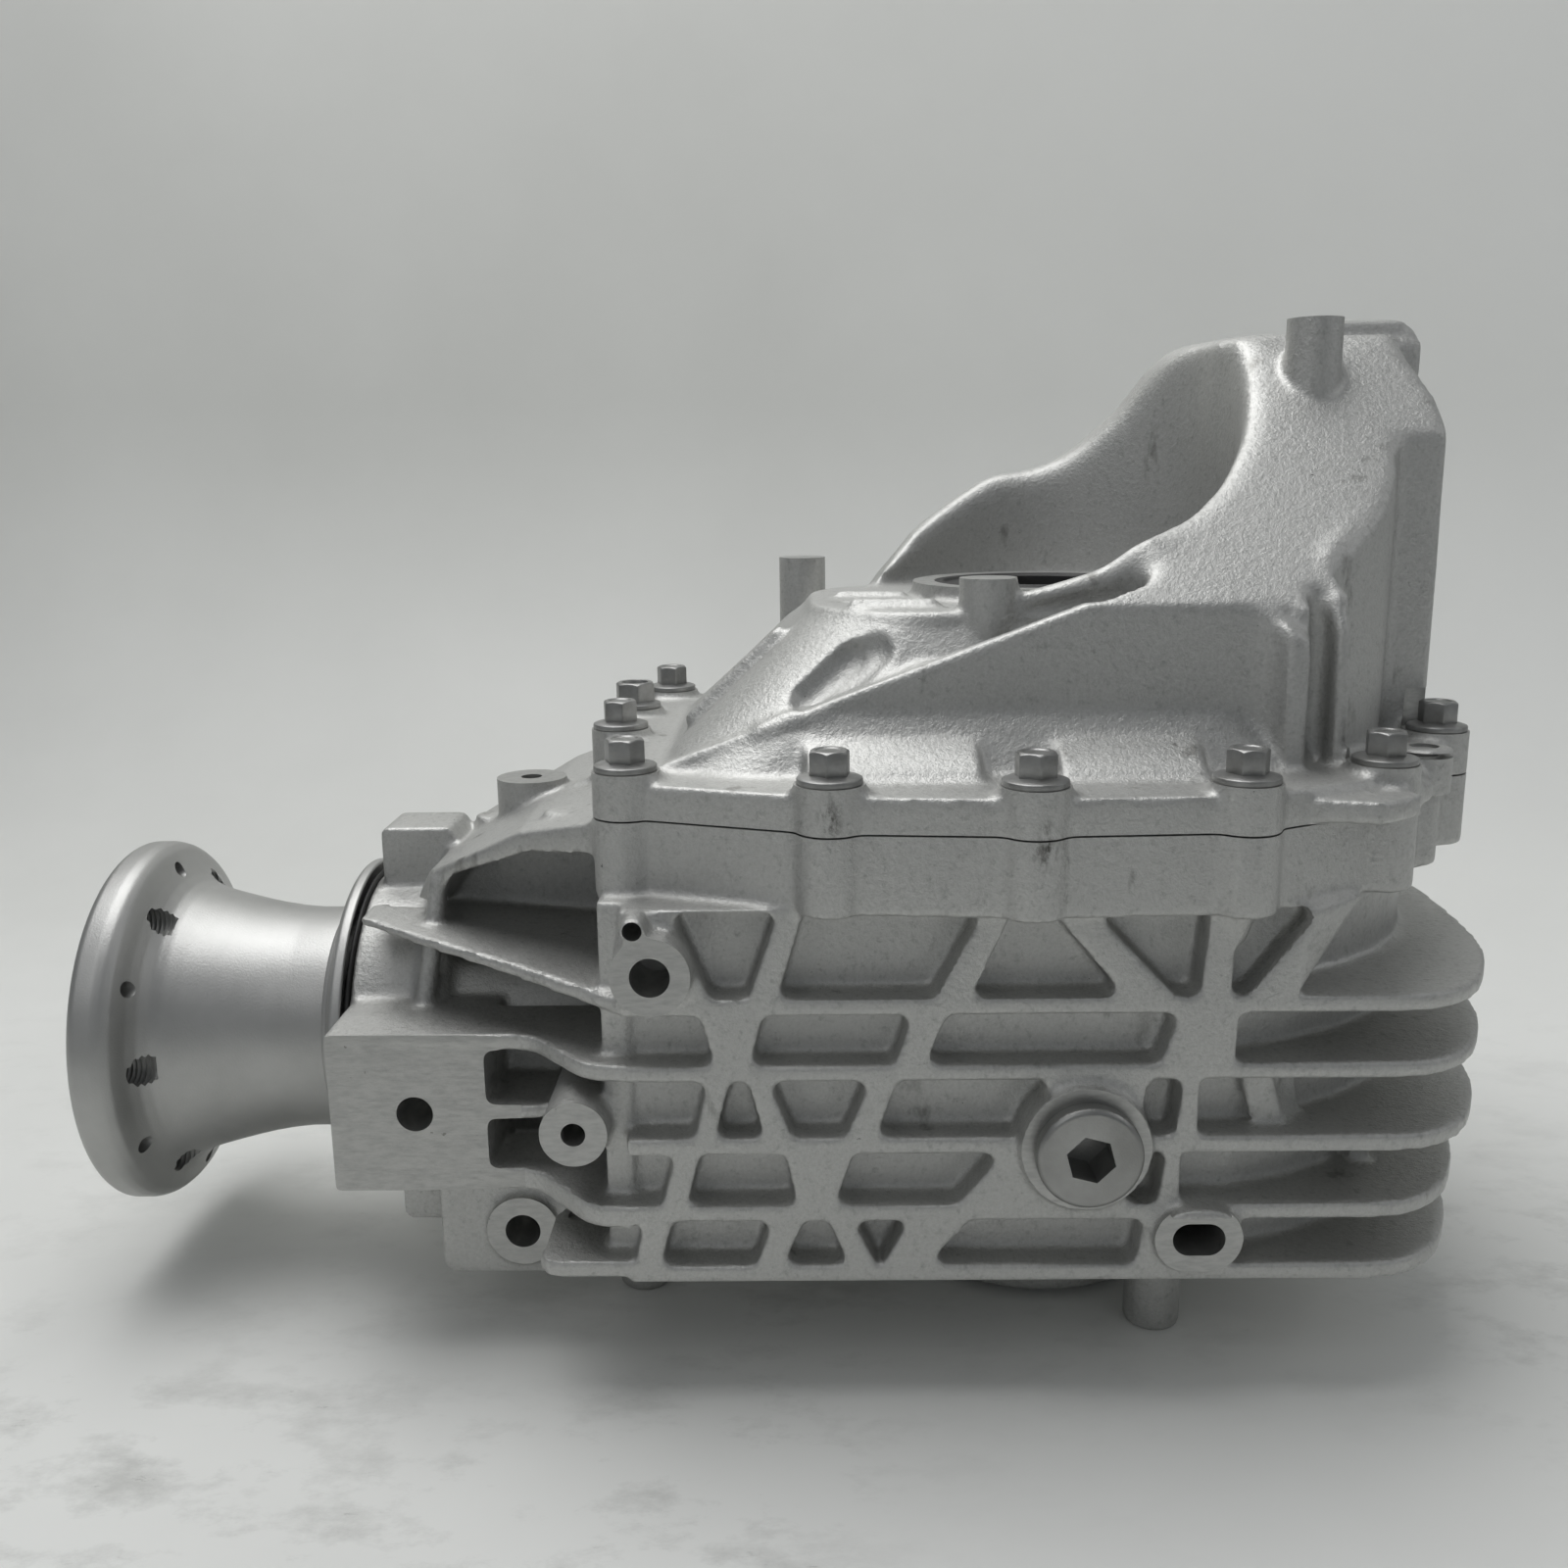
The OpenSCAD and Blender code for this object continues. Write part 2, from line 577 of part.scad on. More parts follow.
module arm() {
    difference() {
        intersection() {
            slab_z(arm_plan, cover_z + 1, arm_z + 1);
            slab_y(arm_face, -100, 100);
            slab_x(arm_side, -100, 140);
        }
        rod_z(scoop_place, scoop_r, plateau_z, arm_z + 20);
        // deep slot between the two end ribs
        slab_z(concat(arc([66.6, web_y + 14], 3.6, 0, 180, 6), [[63, web_y - 10], [70.2, web_y - 10]]),
            rim_top_z, arm_z);
        // recess beside the web
        slab_y(rounded([[-10, rim_top_z], [57, rim_top_z], [57, slope_z - 4], [-10, slope_z - 4]], 3, 3),
            web_y - 5, web_y + 3);
    }
    // side column's cap and the cross boss
    rod_x(cross_boss[0], cross_boss[1], cross_boss_r, 92, 124);
    rod_z(arm_post, post_r, 170, arm_post_z);
}

// Core under the arm, open to the inside of the casing
module arm_hollow() {
    difference() {
        intersection() {
            slab_z([[30, -54], [56, -54], [82, -34], [98, -16], [102, 2], [118, 6], [118, 38],
                [106, 54], [58, 74],
                [30, 74]], split_z - 1, arm_z - 14);
            slab_x([[-60, 80], [-60, slope_z - 8], [30, arm_z - 14], [70, arm_z - 14], [84, 150],
                [84, 80]], 0, 140);
            slab_y([[30, 80], [30, arm_h(0.34)], [62, arm_z - 14], [100, arm_z - 14], [114, arm_h(0.52)],
                [119, 110], [119, 80]],
                -100, 100);
        }
        rod_z(scoop_place, scoop_r + wall + 1, split_z - 2, arm_z);
        rod_z(arm_post, post_r, 150, arm_z);
    }
}

module web() {
    difference() {
        slab_y([[-casing_left + 6, rim_top_z - 1], [-casing_left + 8, rim_top_z + 1.5], [2, slope_z + 1],
            [50, slope_z], [50, rim_top_z - 1]], web_y, web_y + web_t);
        rod_z(near_bolts[0], boss_r, cover_z, seat_z + 20);
    }
    // low bulges at the web's foot
    for (x = [[-76, -28], [-7, 33]])
        slab_x([[web_y - 20, rim_top_z - 1], [web_y - 16, rim_top_z + 3], [web_y - 4, rim_top_z + 10],
            [web_y + 3, rim_top_z + 11], [web_y + 3, rim_top_z - 1]], x[0], x[1]);
}

module dome_details() {
    // two raised ribs on the plateau, a ridge down the nose-side slope
    for (y = [-40, -18])
        slab_z(concat(arc([-40, y], 3.5, -90, 90, 6), arc([-63, y], 3.5, 90, 270, 6)), plateau_z - 2,
            plateau_z + 2.4);
    for (y = [-26, 26])
        slab_y([[-112, rim_top_z + 5], [-108, rim_top_z + 10], [-80, plateau_z - 7],
            [-80, plateau_z - 12]],
            y - 2.5, y + 2.5);
    // rib that runs from the arm down to the front post
    slab_y([[24, plateau_z - 1], [24, 163], [19, 162], [8, 155], [-20, 147], [-30, plateau_z + 1],
        [-30, plateau_z - 1]], -53, -47);
    rod_z(front_post, post_r, 110, post_top_z);
    rod_z(rear_post, post_r, 95, post_top_z);
    rod_z([0, 0], seal_outer + hub_wall, plateau_z - 6, seal_face_z);
}

module cover() color("silver") in_frame() difference() {
    union() {
        difference() {
            union() {
                slab_z(rim_plan, cover_z, rim_top_z);
                draft_prism(dome_low, dome_high, rim_top_z - 2, plateau_z);
                arm();
                web();
            }
            slab_z(rim_inside, cover_z - 1, rim_top_z - 3);
            draft_prism(
                rounded([[-casing_left + 16, -70], [66, -70], [66, 70], [-casing_left + 16, 70]], 26, 12),
                rounded([[-66, -46], [50, -46], [50, 46], [-66, 46]], 30, 12),
                rim_top_z - 4, plateau_z - wall - 1);
            arm_hollow();
            round_rod(groove[0], groove[1], groove_r);
        }
        dome_details();
        for (p = rim_bolts)
            rod_z(p, boss_r, cover_z, seat_z);
        rod_z(dowel_places[0], 8, cover_z, seat_z - 2);
        slab_z([[80, -60], [79, -86], [83, -86], [92, -80], [99, -72],
            [102, -56]], cover_z + 0.5, cover_z + 6.5);
        // hub of the upper output bearing
        rod_z([0, 0], carrier_outer + hub_wall, cover_bearing_z - carrier_w / 2 - 2, plateau_z - 1);
    }
    rod_z([0, 0], carrier_outer + fit_gap, split_z, cover_bearing_z + carrier_w / 2 + shim_t);
    rod_z([0, 0], seal_lip + 8, cover_bearing_z, seal_face_z + 1);
    rod_z([0, 0], seal_outer + fit_gap, seal_face_z - seal_t, seal_face_z + 1);
    for (p = rim_bolts)
        rod_z(p, bolt_d / 2 + 0.5, cover_z - 1, seat_z + 1);
    for (p = rim_bolts)
        rod_z(p, boss_r + 1, seat_z, seat_z + 24);
    for (p = dowel_places)
        rod_z(p, 4 + fit_gap, cover_z - 1, cover_z + 6);
    rod_z(dowel_places[0], 4 + fit_gap, cover_z - 1, seat_z + 1);
    rod_x(cross_boss[0], cross_boss[1], 5.1, 100, 126);
}

module joint_sealant() color("dimgray") in_frame() difference() {
    slab_z(rounded(outset(rim_bolts, rim_margin - 1), 8, 3), split_z, cover_z);
    slab_z(rounded(outset(rim_bolts, -rim_land + 1), 10, 3), split_z - 1, cover_z + 1);
    for (p = rim_bolts)
        rod_z(p, bolt_d / 2 + 0.6, split_z - 1, cover_z + 1);
    for (p = dowel_places)
        rod_z(p, 4.6, split_z - 1, cover_z + 1);
}

// Flanged hexagon bolt, its shank reaching into the housing
module flange_bolt(af, head_h, shank) {
    washer_r = bolt_d * 1.1;
    cylinder(r = washer_r, h = 1.6);
    translate([0, 0, 1.6]) cylinder(r1 = washer_r - 0.4, r2 = af * 0.5, h = 1.6);
    difference() {
        cylinder(r = af / sqrt(3), h = head_h, $fn = 6);
        translate([0, 0, head_h - 0.8]) cylinder(r = af * 0.36, h = 2);
    }
    translate([0, 0, -shank]) cylinder(r = bolt_d / 2, h = shank + 0.5);
}

module cover_bolts() color("lightgray") in_frame()
    for (p = rim_bolts)
        if (p != stud_place)
            translate([p[0], p[1], seat_z]) rotate([0, 0, p[0] * 7]) flange_bolt(bolt_d * 1.25, 9,
                seat_h + 14);

module stud_bolt() color("lightgray") in_frame() translate([stud_place[0], stud_place[1], seat_z])
    difference() {
        flange_bolt(bolt_d * 1.55, 9, seat_h + 14);
        translate([0, 0, 4]) cylinder(r = bolt_d * 0.5, h = 10);
    }

module joint_dowels() color("gray") in_frame()
    for (p = dowel_places)
        rod_z(p, 4, split_z - 8.5, cover_z + 5.5);

module fill_plug() color("lightgray") in_frame() translate([plug_place[0], -side_y - 3, plug_place[1]])
    rotate([90, 0, 0]) difference() {
        union() {
            translate([0, 0, 1.5]) cylinder(r = plug_r, h = 3.6);
            translate([0, 0, 5.1]) cylinder(r1 = plug_r, r2 = plug_r - 1, h = 1);
            translate([0, 0, -13]) cylinder(r = plug_thread_r, h = 14.6);
        }
        translate([0, 0, -4]) rotate([0, 0, 30]) cylinder(r = plug_af / sqrt(3), h = 12, $fn = 6);
        translate([0, 0, 5.3]) cylinder(r1 = plug_af / sqrt(3) - 0.4, r2 = plug_af / sqrt(3) + 0.8,
            h = 1);
    }

module fill_plug_washer() color("gray") in_frame() translate([plug_place[0], -side_y - 3, plug_place[1]])
    rotate([90, 0, 0]) difference() {
        cylinder(r = plug_r - 0.6, h = 1.5);
        translate([0, 0, -1]) cylinder(r = plug_thread_r + 0.2, h = 4);
    }

// Seals: a rubber-covered steel shell with a sprung lip

module shaft_seal(outer, lip, t) rotate_extrude() polygon([
    [outer, 0], [outer, t], [outer - 3, t], [outer - 3, 2.2], [lip + 4, 2.2], [lip + 4, t - 1],
    [lip, t - 1], [lip, 0]
]);

module output_seal_cover() color("#202020") in_frame() translate([0, 0, seal_face_z]) rotate([180, 0, 0])
    shaft_seal(seal_outer, seal_lip, seal_t);

module output_seal_housing() color("#202020") in_frame() translate([0, 0, seal_low_z])
    shaft_seal(seal_outer, seal_lip, seal_t);

// Bearings: tapered raceways whose cones meet on the shaft's axis

function bearing_mid(b, o) = (b + o) / 2 + 0.3;
function roller_r(b, o) = (o - b) * 0.215;
function roller_l(w) = w * 0.6;
function apex_h(b, o) = bearing_mid(b, o) / tan(roller_tilt);
function roller_slope(b, o) = atan(roller_r(b, o) * sin(roller_tilt) / bearing_mid(b, o));
function outer_race(b, o, z) = (z + apex_h(b, o)) * tan(roller_tilt + roller_slope(b, o)) + run_gap;
function inner_race(b, o, z) = (z + apex_h(b, o)) * tan(roller_tilt - roller_slope(b, o)) - run_gap;

module bearing_cup(b, o, w) rotate_extrude() polygon([
    [o, -w / 2], [o, w / 2 - race_end], [outer_race(b, o, w / 2 - race_end), w / 2 - race_end],
    [outer_race(b, o, -w / 2 + 1), -w / 2 + 1], [outer_race(b, o, -w / 2), -w / 2]
]);

module bearing_cone(b, o, w) {
    l = roller_l(w) / 2 + 0.3 + roller_r(b, o) * sin(roller_tilt);
    lip = roller_r(b, o) * 0.45;
    rotate_extrude() polygon([
        [b + fit_gap, -w / 2 + race_end], [b + fit_gap, w / 2], [inner_race(b, o, l) + lip, w / 2],
        [inner_race(b, o, l) + lip, l],
        [inner_race(b, o, l), l], [inner_race(b, o, -l), -l], [inner_race(b, o, -l) + 0.8, -l],
        [inner_race(b, o, -l) + 0.8, -w / 2 + race_end]
    ]);
}

module roller_place(b, o, n) for (i = [0:n - 1])
    rotate([0, 0, i * 360 / n]) translate([bearing_mid(b, o), 0, 0]) rotate([0, roller_tilt,
        0]) children();

// Tapered rollers in the windows of a pressed cage
module roller_set(b, o, w, n) {
    r = roller_r(b, o);
    l = roller_l(w);
    d = bearing_mid(b, o) / sin(roller_tilt);
    cage_l = l / 2 + 1.4;
    cage_t = 0.6;
    roller_place(b, o, n)
        translate([0, 0, -l / 2]) cylinder(r1 = r * (1 - l / 2 / d), r2 = r * (1 + l / 2 / d), h = l);
    difference() {
        rotate_extrude() polygon([for (k = [[-1, -1], [1, -1], [1, 1], [-1, 1]])
            [(k[1] * cage_l + apex_h(b, o)) * tan(roller_tilt) + k[0] * cage_t, k[1] * cage_l]]);
        roller_place(b, o, n)
            translate([-3, -r - run_gap, -l / 2 - run_gap]) cube([6, 2 * (r + run_gap), l + 2 * run_gap]);
    }
}

module at_cover_bearing() in_frame() translate([0, 0, cover_bearing_z]) rotate([180, 0, 0]) children();
module at_housing_bearing() in_frame() translate([0, 0, housing_bearing_z]) children();
module at_head_bearing() in_frame() translate([head_x, 0, 0]) rotate([0, 90, 0]) children();
module at_tail_bearing() in_frame() translate([tail_x, 0, 0]) rotate([0, -90, 0]) children();

module carrier_cup_cover() color("gray") at_cover_bearing() bearing_cup(carrier_bore, carrier_outer,
    carrier_w);
module carrier_cup_housing() color("gray")
    at_housing_bearing() bearing_cup(carrier_bore, carrier_outer, carrier_w);
module pinion_head_cup() color("gray") at_head_bearing() bearing_cup(head_bore, head_outer, head_w);
module pinion_tail_cup() color("gray") at_tail_bearing() bearing_cup(tail_bore, tail_outer, tail_w);

module carrier_cone_cover() color("darkgray")
    at_cover_bearing() bearing_cone(carrier_bore, carrier_outer, carrier_w);
module carrier_cone_housing() color("darkgray")
    at_housing_bearing() bearing_cone(carrier_bore, carrier_outer, carrier_w);
module pinion_head_cone() color("darkgray") at_head_bearing() bearing_cone(head_bore, head_outer, head_w);
module pinion_tail_cone() color("darkgray") at_tail_bearing() bearing_cone(tail_bore, tail_outer, tail_w);

module carrier_rollers_cover() color("gold")
    at_cover_bearing() roller_set(carrier_bore, carrier_outer, carrier_w, carrier_rollers);
module carrier_rollers_housing() color("gold")
    at_housing_bearing() roller_set(carrier_bore, carrier_outer, carrier_w, carrier_rollers);
module pinion_head_rollers() color("gold") at_head_bearing() roller_set(head_bore, head_outer,
    head_w, head_rollers);
module pinion_tail_rollers() color("gold") at_tail_bearing() roller_set(tail_bore, tail_outer,
    tail_w, tail_rollers);

module ring_shim(outer, inner, t) difference() {
    cylinder(r = outer, h = t);
    translate([0, 0, -1]) cylinder(r = inner, h = t + 2);
}

module carrier_shim_cover() color("tan") in_frame()
    translate([0, 0, cover_bearing_z + carrier_w / 2]) ring_shim(carrier_outer, carrier_outer - 6,
        shim_t);
module carrier_shim_housing() color("tan") in_frame()
    translate([0, 0, housing_bearing_z - carrier_w / 2 - shim_t]) ring_shim(carrier_outer,
        carrier_outer - 6, shim_t);
module pinion_depth_shim() color("tan") in_frame()
    translate([head_x - head_w / 2 - shim_t, 0, 0]) rotate([0, 90, 0]) ring_shim(head_outer,
        head_outer - 6, shim_t);

// Bevel gear: teeth swept towards the apex at the origin, on a cone that opens to +Z.
// profile lists a flank's points from root to tip, as a height above the pitch cone and a half angle
// of the tooth, both at the outer end. turn is the spiral's constant, in degrees.
function bevel_point(cone, dist, h, a) = [
    (dist * sin(cone) + h * cos(cone)) * cos(a),
    (dist * sin(cone) + h * cos(cone)) * sin(a),
    dist * cos(cone) - h * sin(cone)
];
function flank_order(profile) = concat(
    [for (p = profile) [p[0], -p[1]]],
    [for (i = [len(profile) - 1:-1:0]) profile[i]]
);
module bevel_gear(teeth, cone, outer, face, profile, turn, base, slices) {
    tooth = flank_order(profile);
    m = len(tooth);
    n = teeth * m;
    mid = outer - face / 2;
    dists = [for (k = [0:slices]) outer - face + face * k / slices];
    function lead(d) = turn * ln(d / mid);
    rows = concat(
        [for (d = dists) [for (i = [0:n - 1]) let (p = tooth[i % m], s = d / outer)
            bevel_point(cone, d, p[0] * s, 360 / teeth * floor(i / m) + p[1] + lead(d))]],
        [for (d = [outer, outer - face]) [for (i = [0:n - 1]) let (p = tooth[i % m])
            bevel_point(cone, d, -base, 360 / teeth * floor(i / m) + p[1] + lead(d))]]
    );
    q = len(rows);
    polyhedron(
        points = [for (r = rows) each r],
        faces = [for (k = [0:q - 1]) for (i = [0:n - 1])
            let (
                a = k * n + i,
                b = k * n + (i + 1) % n,
                c = ((k + 1) % q) * n + (i + 1) % n,
                d = ((k + 1) % q) * n + i
            )
            each [[a, d, c], [a, c, b]]]
    );
}

// Half angles of a tooth at its root, pitch line and tip
function tooth_profile(teeth, outer_r, add, ded, slim, press = 21) = let (
    m = 2 * outer_r / teeth,
    a = 90 / teeth * slim,
    k = 180 / PI / outer_r * tan(press)
) [[-ded * m, a + ded * m * k], [0, a], [add * m, a - add * m * k]];

module ring_gear() color("slategray") in_frame() difference() {
    union() {
        bevel_gear(ring_teeth, ring_cone, cone_dist, face_w,
            tooth_profile(ring_teeth, ring_r, ring_add, ring_ded, mesh_slim), ring_turn, 8, 5);
        rotate_extrude() polygon([
            [ring_bore_r, ring_back_z], [ring_r - 1, ring_back_z], [ring_r + 1, ring_back_z - 3],
            [ring_r + 1.5, 30], [ring_r - 3, 29.5], [ring_r - face_w * sin(ring_cone) + 2, 23],
            [ring_bore_r, 23]
        ]);
    }
    for (i = [0:ring_bolt_n - 1])
        rotate([0, 0, i * 360 / ring_bolt_n]) translate([ring_bolt_pcr, 0, ring_back_z - 13])
            cylinder(r = ring_bolt_r + fit_gap, h = 14);
}

module pinion_gear() color("slategray") in_frame() {
    rotate([0, -90, 0]) rotate([0, 0, pinion_phase])
        bevel_gear(pinion_teeth, pinion_cone, cone_dist, face_w,
            tooth_profile(pinion_teeth, ring_r * pinion_teeth / ring_teeth, pinion_add, pinion_ded,
                mesh_slim),
            pinion_turn, 6, 6);
    turned_x([
        [0, cone_dist * cos(pinion_cone) - face_w - 1], [10, cone_dist * cos(pinion_cone) - face_w - 1],
        [19, -head_x - head_w / 2 - 3], [head_bore + 4, -head_x - head_w / 2 - 2],
        [head_bore + 4, -head_x - head_w / 2], [head_bore, -head_x - head_w / 2],
        [head_bore, -head_x + head_w / 2 + 4],
        [tail_bore, -head_x + head_w / 2 + 8], [tail_bore, spline_start],
        [spline_r - 2.2, spline_start + 1], [spline_r - 2.2, spline_end], [nut_thread_r, spline_end + 1],
        [nut_thread_r, nut_seat_x + 19], [nut_thread_r - 1.5, nut_seat_x + 20.5], [0, nut_seat_x + 20.5]
    ]);
    rotate([0, -90, 0]) translate([0, 0, spline_start + 1])
        linear_extrude(height = spline_end - spline_start - 1) polygon(spline_plan(spline_r,
            spline_r - 2, 24, 0));
}

// Straight-sided spline seen along its axis
function spline_plan(tip, root, n, gap) = [
    for (i = [0:n - 1]) for (k = [[-0.34, 0], [-0.2, 1], [0.2, 1], [0.34, 0]])
        let (a = (i + k[0]) * 360 / n, r = (k[1] == 1 ? tip : root) + gap) r * [cos(a), sin(a)]
];

module crush_sleeve() color("darkgray") in_frame() turned_x([
    [tail_bore + fit_gap, sleeve_start], [tail_bore + 2.5, sleeve_start],
    [tail_bore + 2.5, sleeve_mid - 9], [tail_bore + 5, sleeve_mid - 3], [tail_bore + 5, sleeve_mid + 3],
    [tail_bore + 2.5, sleeve_mid + 9],
    [tail_bore + 2.5, sleeve_end], [tail_bore + fit_gap, sleeve_end]
]);

// Companion flange: forged steel, turned all over, splined on the pinion
function flare_x(share) = nose_end + 22 + share * (flange_x - flange_t - nose_end - 22);
module companion_flange() color("silver") in_frame() difference() {
    turned_x([
        [spline_r - 1, -tail_x + tail_w / 2], [26, -tail_x + tail_w / 2], [27, nose_end - 12],
        [27, nose_end + 2], [hub_r - 2, nose_end + 5], [hub_r, nose_end + 7], [hub_r, flare_x(0)],
        [hub_r + 1.2, flare_x(0.2)], [hub_r + 3.8, flare_x(0.4)], [hub_r + 7.5, flare_x(0.6)],
        [hub_r + 12, flare_x(0.78)], [hub_r + 17, flange_x - flange_t - 1.5],
        [flange_r - 2.5, flange_x - flange_t], [flange_r - 0.6, flange_x - flange_t + 1.2],
        [flange_r, flange_x - flange_t + 3.5], [flange_r, flange_x - 2.5],
        [flange_r - 1.5, flange_x - 0.6],
        [flange_r - 4, flange_x], [pilot_r, flange_x], [pilot_r, flange_x - pilot_depth],
        [pilot_r - 2, flange_x - pilot_depth], [pilot_r - 2, nut_seat_x], [spline_r - 1, nut_seat_x]
    ]);
    rotate([0, -90, 0]) linear_extrude(height = flange_x) polygon(spline_plan(spline_r, spline_r - 2,
        24, 0.06));
    turned_x([[0, -tail_x], [tail_bore + fit_gap, -tail_x], [tail_bore + fit_gap, spline_start + 1.5],
        [0, spline_start + 1.5]]);
    for (i = [0:5]) {
        rotate([60 * i + 30, 0, 0]) rod_x(0, flange_pcr, flange_hole_r, -flange_x - 1, -flare_x(0));
        rotate([60 * i, 0, 0]) rod_x(0, flange_pcr + 5, 2.6, -flange_x - 1, -flare_x(0));
    }
}

module dust_shield() color("gray") in_frame() turned_x([
    [hub_r + fit_gap, nose_end + 20], [hub_r + 1.4, nose_end + 20], [hub_r + 1.4, nose_end + 11],
    [hub_r + 4, nose_end + 9.6], [shield_r - 1.5, nose_end + 6], [shield_r, nose_end + 4.6],
    [shield_r, nose_end + 1.6], [shield_r - 1.3, nose_end + 1.6], [shield_r - 1.3, nose_end + 4],
    [shield_r - 3, nose_end + 4.8], [hub_r + 3, nose_end + 8], [hub_r + fit_gap, nose_end + 8.6]
]);

// Pinion seal, with a rubber flange over the end of the nose
module pinion_seal() color("#202020") in_frame() turned_x([
    [nose_r - 7 - fit_gap, nose_end - 10], [nose_r - 7 - fit_gap, nose_end],
    [nose_r + 0.8, nose_end], [nose_r + 0.8, nose_end + 1.2],
    [nose_r - 11, nose_end + 1.2], [nose_r - 11, nose_end - 7], [27.4, nose_end - 7],
    [27.1, nose_end - 8.5],
    [28.5, nose_end - 10]
]);

module pinion_washer() color("gray") in_frame()
    turned_x([[nut_thread_r + 0.2, nut_seat_x], [24, nut_seat_x], [24, nut_seat_x + 3],
        [nut_thread_r + 0.2, nut_seat_x + 3]]);

module pinion_nut() color("gray") in_frame() difference() {
    rotate([0, -90, 0]) translate([0, 0, nut_seat_x + 3]) union() {
        cylinder(r = 36 / sqrt(3), h = 13, $fn = 6);
        cylinder(r = 23, h = 3);
    }
    rotate([0, -90, 0]) translate([0, 0, nut_seat_x]) cylinder(r = nut_thread_r + fit_gap, h = 30);
}

// Differential case: one piece, with a spherical chamber and two windows to load the gears
module diff_case() color("dimgray") in_frame() difference() {
    rotate_extrude() polygon([
        [18, housing_bearing_z - carrier_w / 2 - 2], [carrier_bore,
        housing_bearing_z - carrier_w / 2 - 2],
        [carrier_bore, housing_bearing_z + carrier_w / 2], [30, housing_bearing_z + carrier_w / 2],
        [34, diff_z - case_in - 2], [case_r, diff_z - 24], [case_r, ring_back_z],
        [ring_bolt_pcr + 8, ring_back_z],
        [ring_bolt_pcr + 8, ring_back_z + 10], [ring_bolt_pcr - 10, ring_back_z + 10],
        [44, ring_back_z + 14],
        [33, 78],
        [30, cover_bearing_z - carrier_w / 2], [carrier_bore, cover_bearing_z - carrier_w / 2],
        [carrier_bore, cover_bearing_z + carrier_w / 2 + 2], [18, cover_bearing_z + carrier_w / 2 + 2]
    ]);
    translate([0, 0, diff_z]) sphere(r = case_in);
    // seats of the side gears and their hubs
    rod_z([0, 0], gear_hub_r + 0.06, diff_z - hub_reach - 1, diff_z + hub_reach + 1);
    // windows
    for (s = [-1, 1])
        translate([s * 60, 0, diff_z]) slab_x(rounded([[-17, -17], [17, -17], [17, 17],
            [-17, 17]], 8, 3), -36, 36);
    rod_y(0, diff_z, pin_r + fit_gap, -case_r - 2, case_r + 2);
    for (i = [0:ring_bolt_n - 1])
        rotate([0, 0, i * 360 / ring_bolt_n]) translate([ring_bolt_pcr, 0, ring_back_z - 1])
            cylinder(r = ring_bolt_r + 0.5, h = 12);
    rod_z([0, pin_end], 2.5 + fit_gap, diff_z - 2, diff_z + 34);
}

module cross_pin() color("silver") in_frame() difference() {
    rod_y(0, diff_z, pin_r, -case_r + 1.5, case_r - 1.5);
    rod_z([0, pin_end], 2.5 + fit_gap, 0, 40);
}

module lock_pin() color("gray") in_frame() rod_z([0, pin_end], 2.5, diff_z - 1.5, diff_z + 32);

module ring_gear_bolts() color("gray") in_frame()
    for (i = [0:ring_bolt_n - 1])
        rotate([0, 0, i * 360 / ring_bolt_n]) translate([ring_bolt_pcr, 0, 0]) {
            translate([0, 0, ring_back_z + 10]) cylinder(r = 15 / sqrt(3), h = 6.5, $fn = 6);
            translate([0, 0, ring_back_z - 12.5]) cylinder(r = ring_bolt_r, h = 23);
        }

// Side and spider gears: straight bevels, their apex at the middle of the cross pin
function cone_point(cone, dist, h) = [dist * sin(cone) + h * cos(cone), dist * cos(cone) - h * sin(cone)];
module gear_body(cone, depth) intersection() {
    toe = cone_point(cone, diff_dist - diff_face - 1, -depth * (1 - (diff_face + 1) / diff_dist));
    heel = cone_point(cone, diff_dist + 1, -depth * (1 + 1 / diff_dist));
    rotate_extrude() polygon([[0, toe[1]], toe, heel, [heel[0], case_in], [0, case_in]]);
    sphere(r = case_in - washer_t - 0.1);
}

module side_gear() difference() {
    union() {
        bevel_gear(side_teeth, side_cone, diff_dist, diff_face,
            tooth_profile(side_teeth, side_r, diff_add, diff_ded, diff_slim), 0, diff_base, 1);
        gear_body(side_cone, diff_depth);
        rod_z([0, 0], gear_hub_r, diff_dist * cos(side_cone) + 3, hub_reach);
    }
    linear_extrude(height = 80) polygon(spline_plan(15.2, 14, 27, 0));
}

module spider_gear() difference() {
    union() {
        bevel_gear(spider_teeth, spider_cone, diff_dist, diff_face,
            tooth_profile(spider_teeth, diff_dist * sin(spider_cone), diff_add, diff_ded, diff_slim),
            0, diff_base, 1);
        gear_body(spider_cone, diff_depth);
    }
    cylinder(r = pin_r + 0.08, h = 60);
}

module at_diff(turn) in_frame() translate([0, 0, diff_z]) rotate(turn) children();
module side_gear_upper() color("lightslategray") at_diff([0, 0, 0]) side_gear();
module side_gear_lower() color("lightslategray") at_diff([180, 0, 0]) side_gear();
module spider_gear_near() color("slategray") at_diff([90, 0, 0]) spider_gear();
module spider_gear_far() color("slategray") at_diff([-90, 0, 0]) spider_gear();

// Thrust washers between the gears' backs and the case
module dished_washer(r0, r1) intersection() {
    difference() {
        sphere(r = case_in - 0.1);
        sphere(r = case_in - washer_t);
    }
    difference() {
        cylinder(r = r1, h = 60);
        translate([0, 0, -1]) cylinder(r = r0, h = 70);
    }
}
module side_gear_washers() color("goldenrod")
    for (a = [0, 180]) at_diff([a, 0, 0]) dished_washer(gear_hub_r + 0.2, side_r);
module spider_washers() color("goldenrod")
    for (a = [90, -90]) at_diff([a, 0, 0]) dished_washer(pin_r + 0.2, 14);

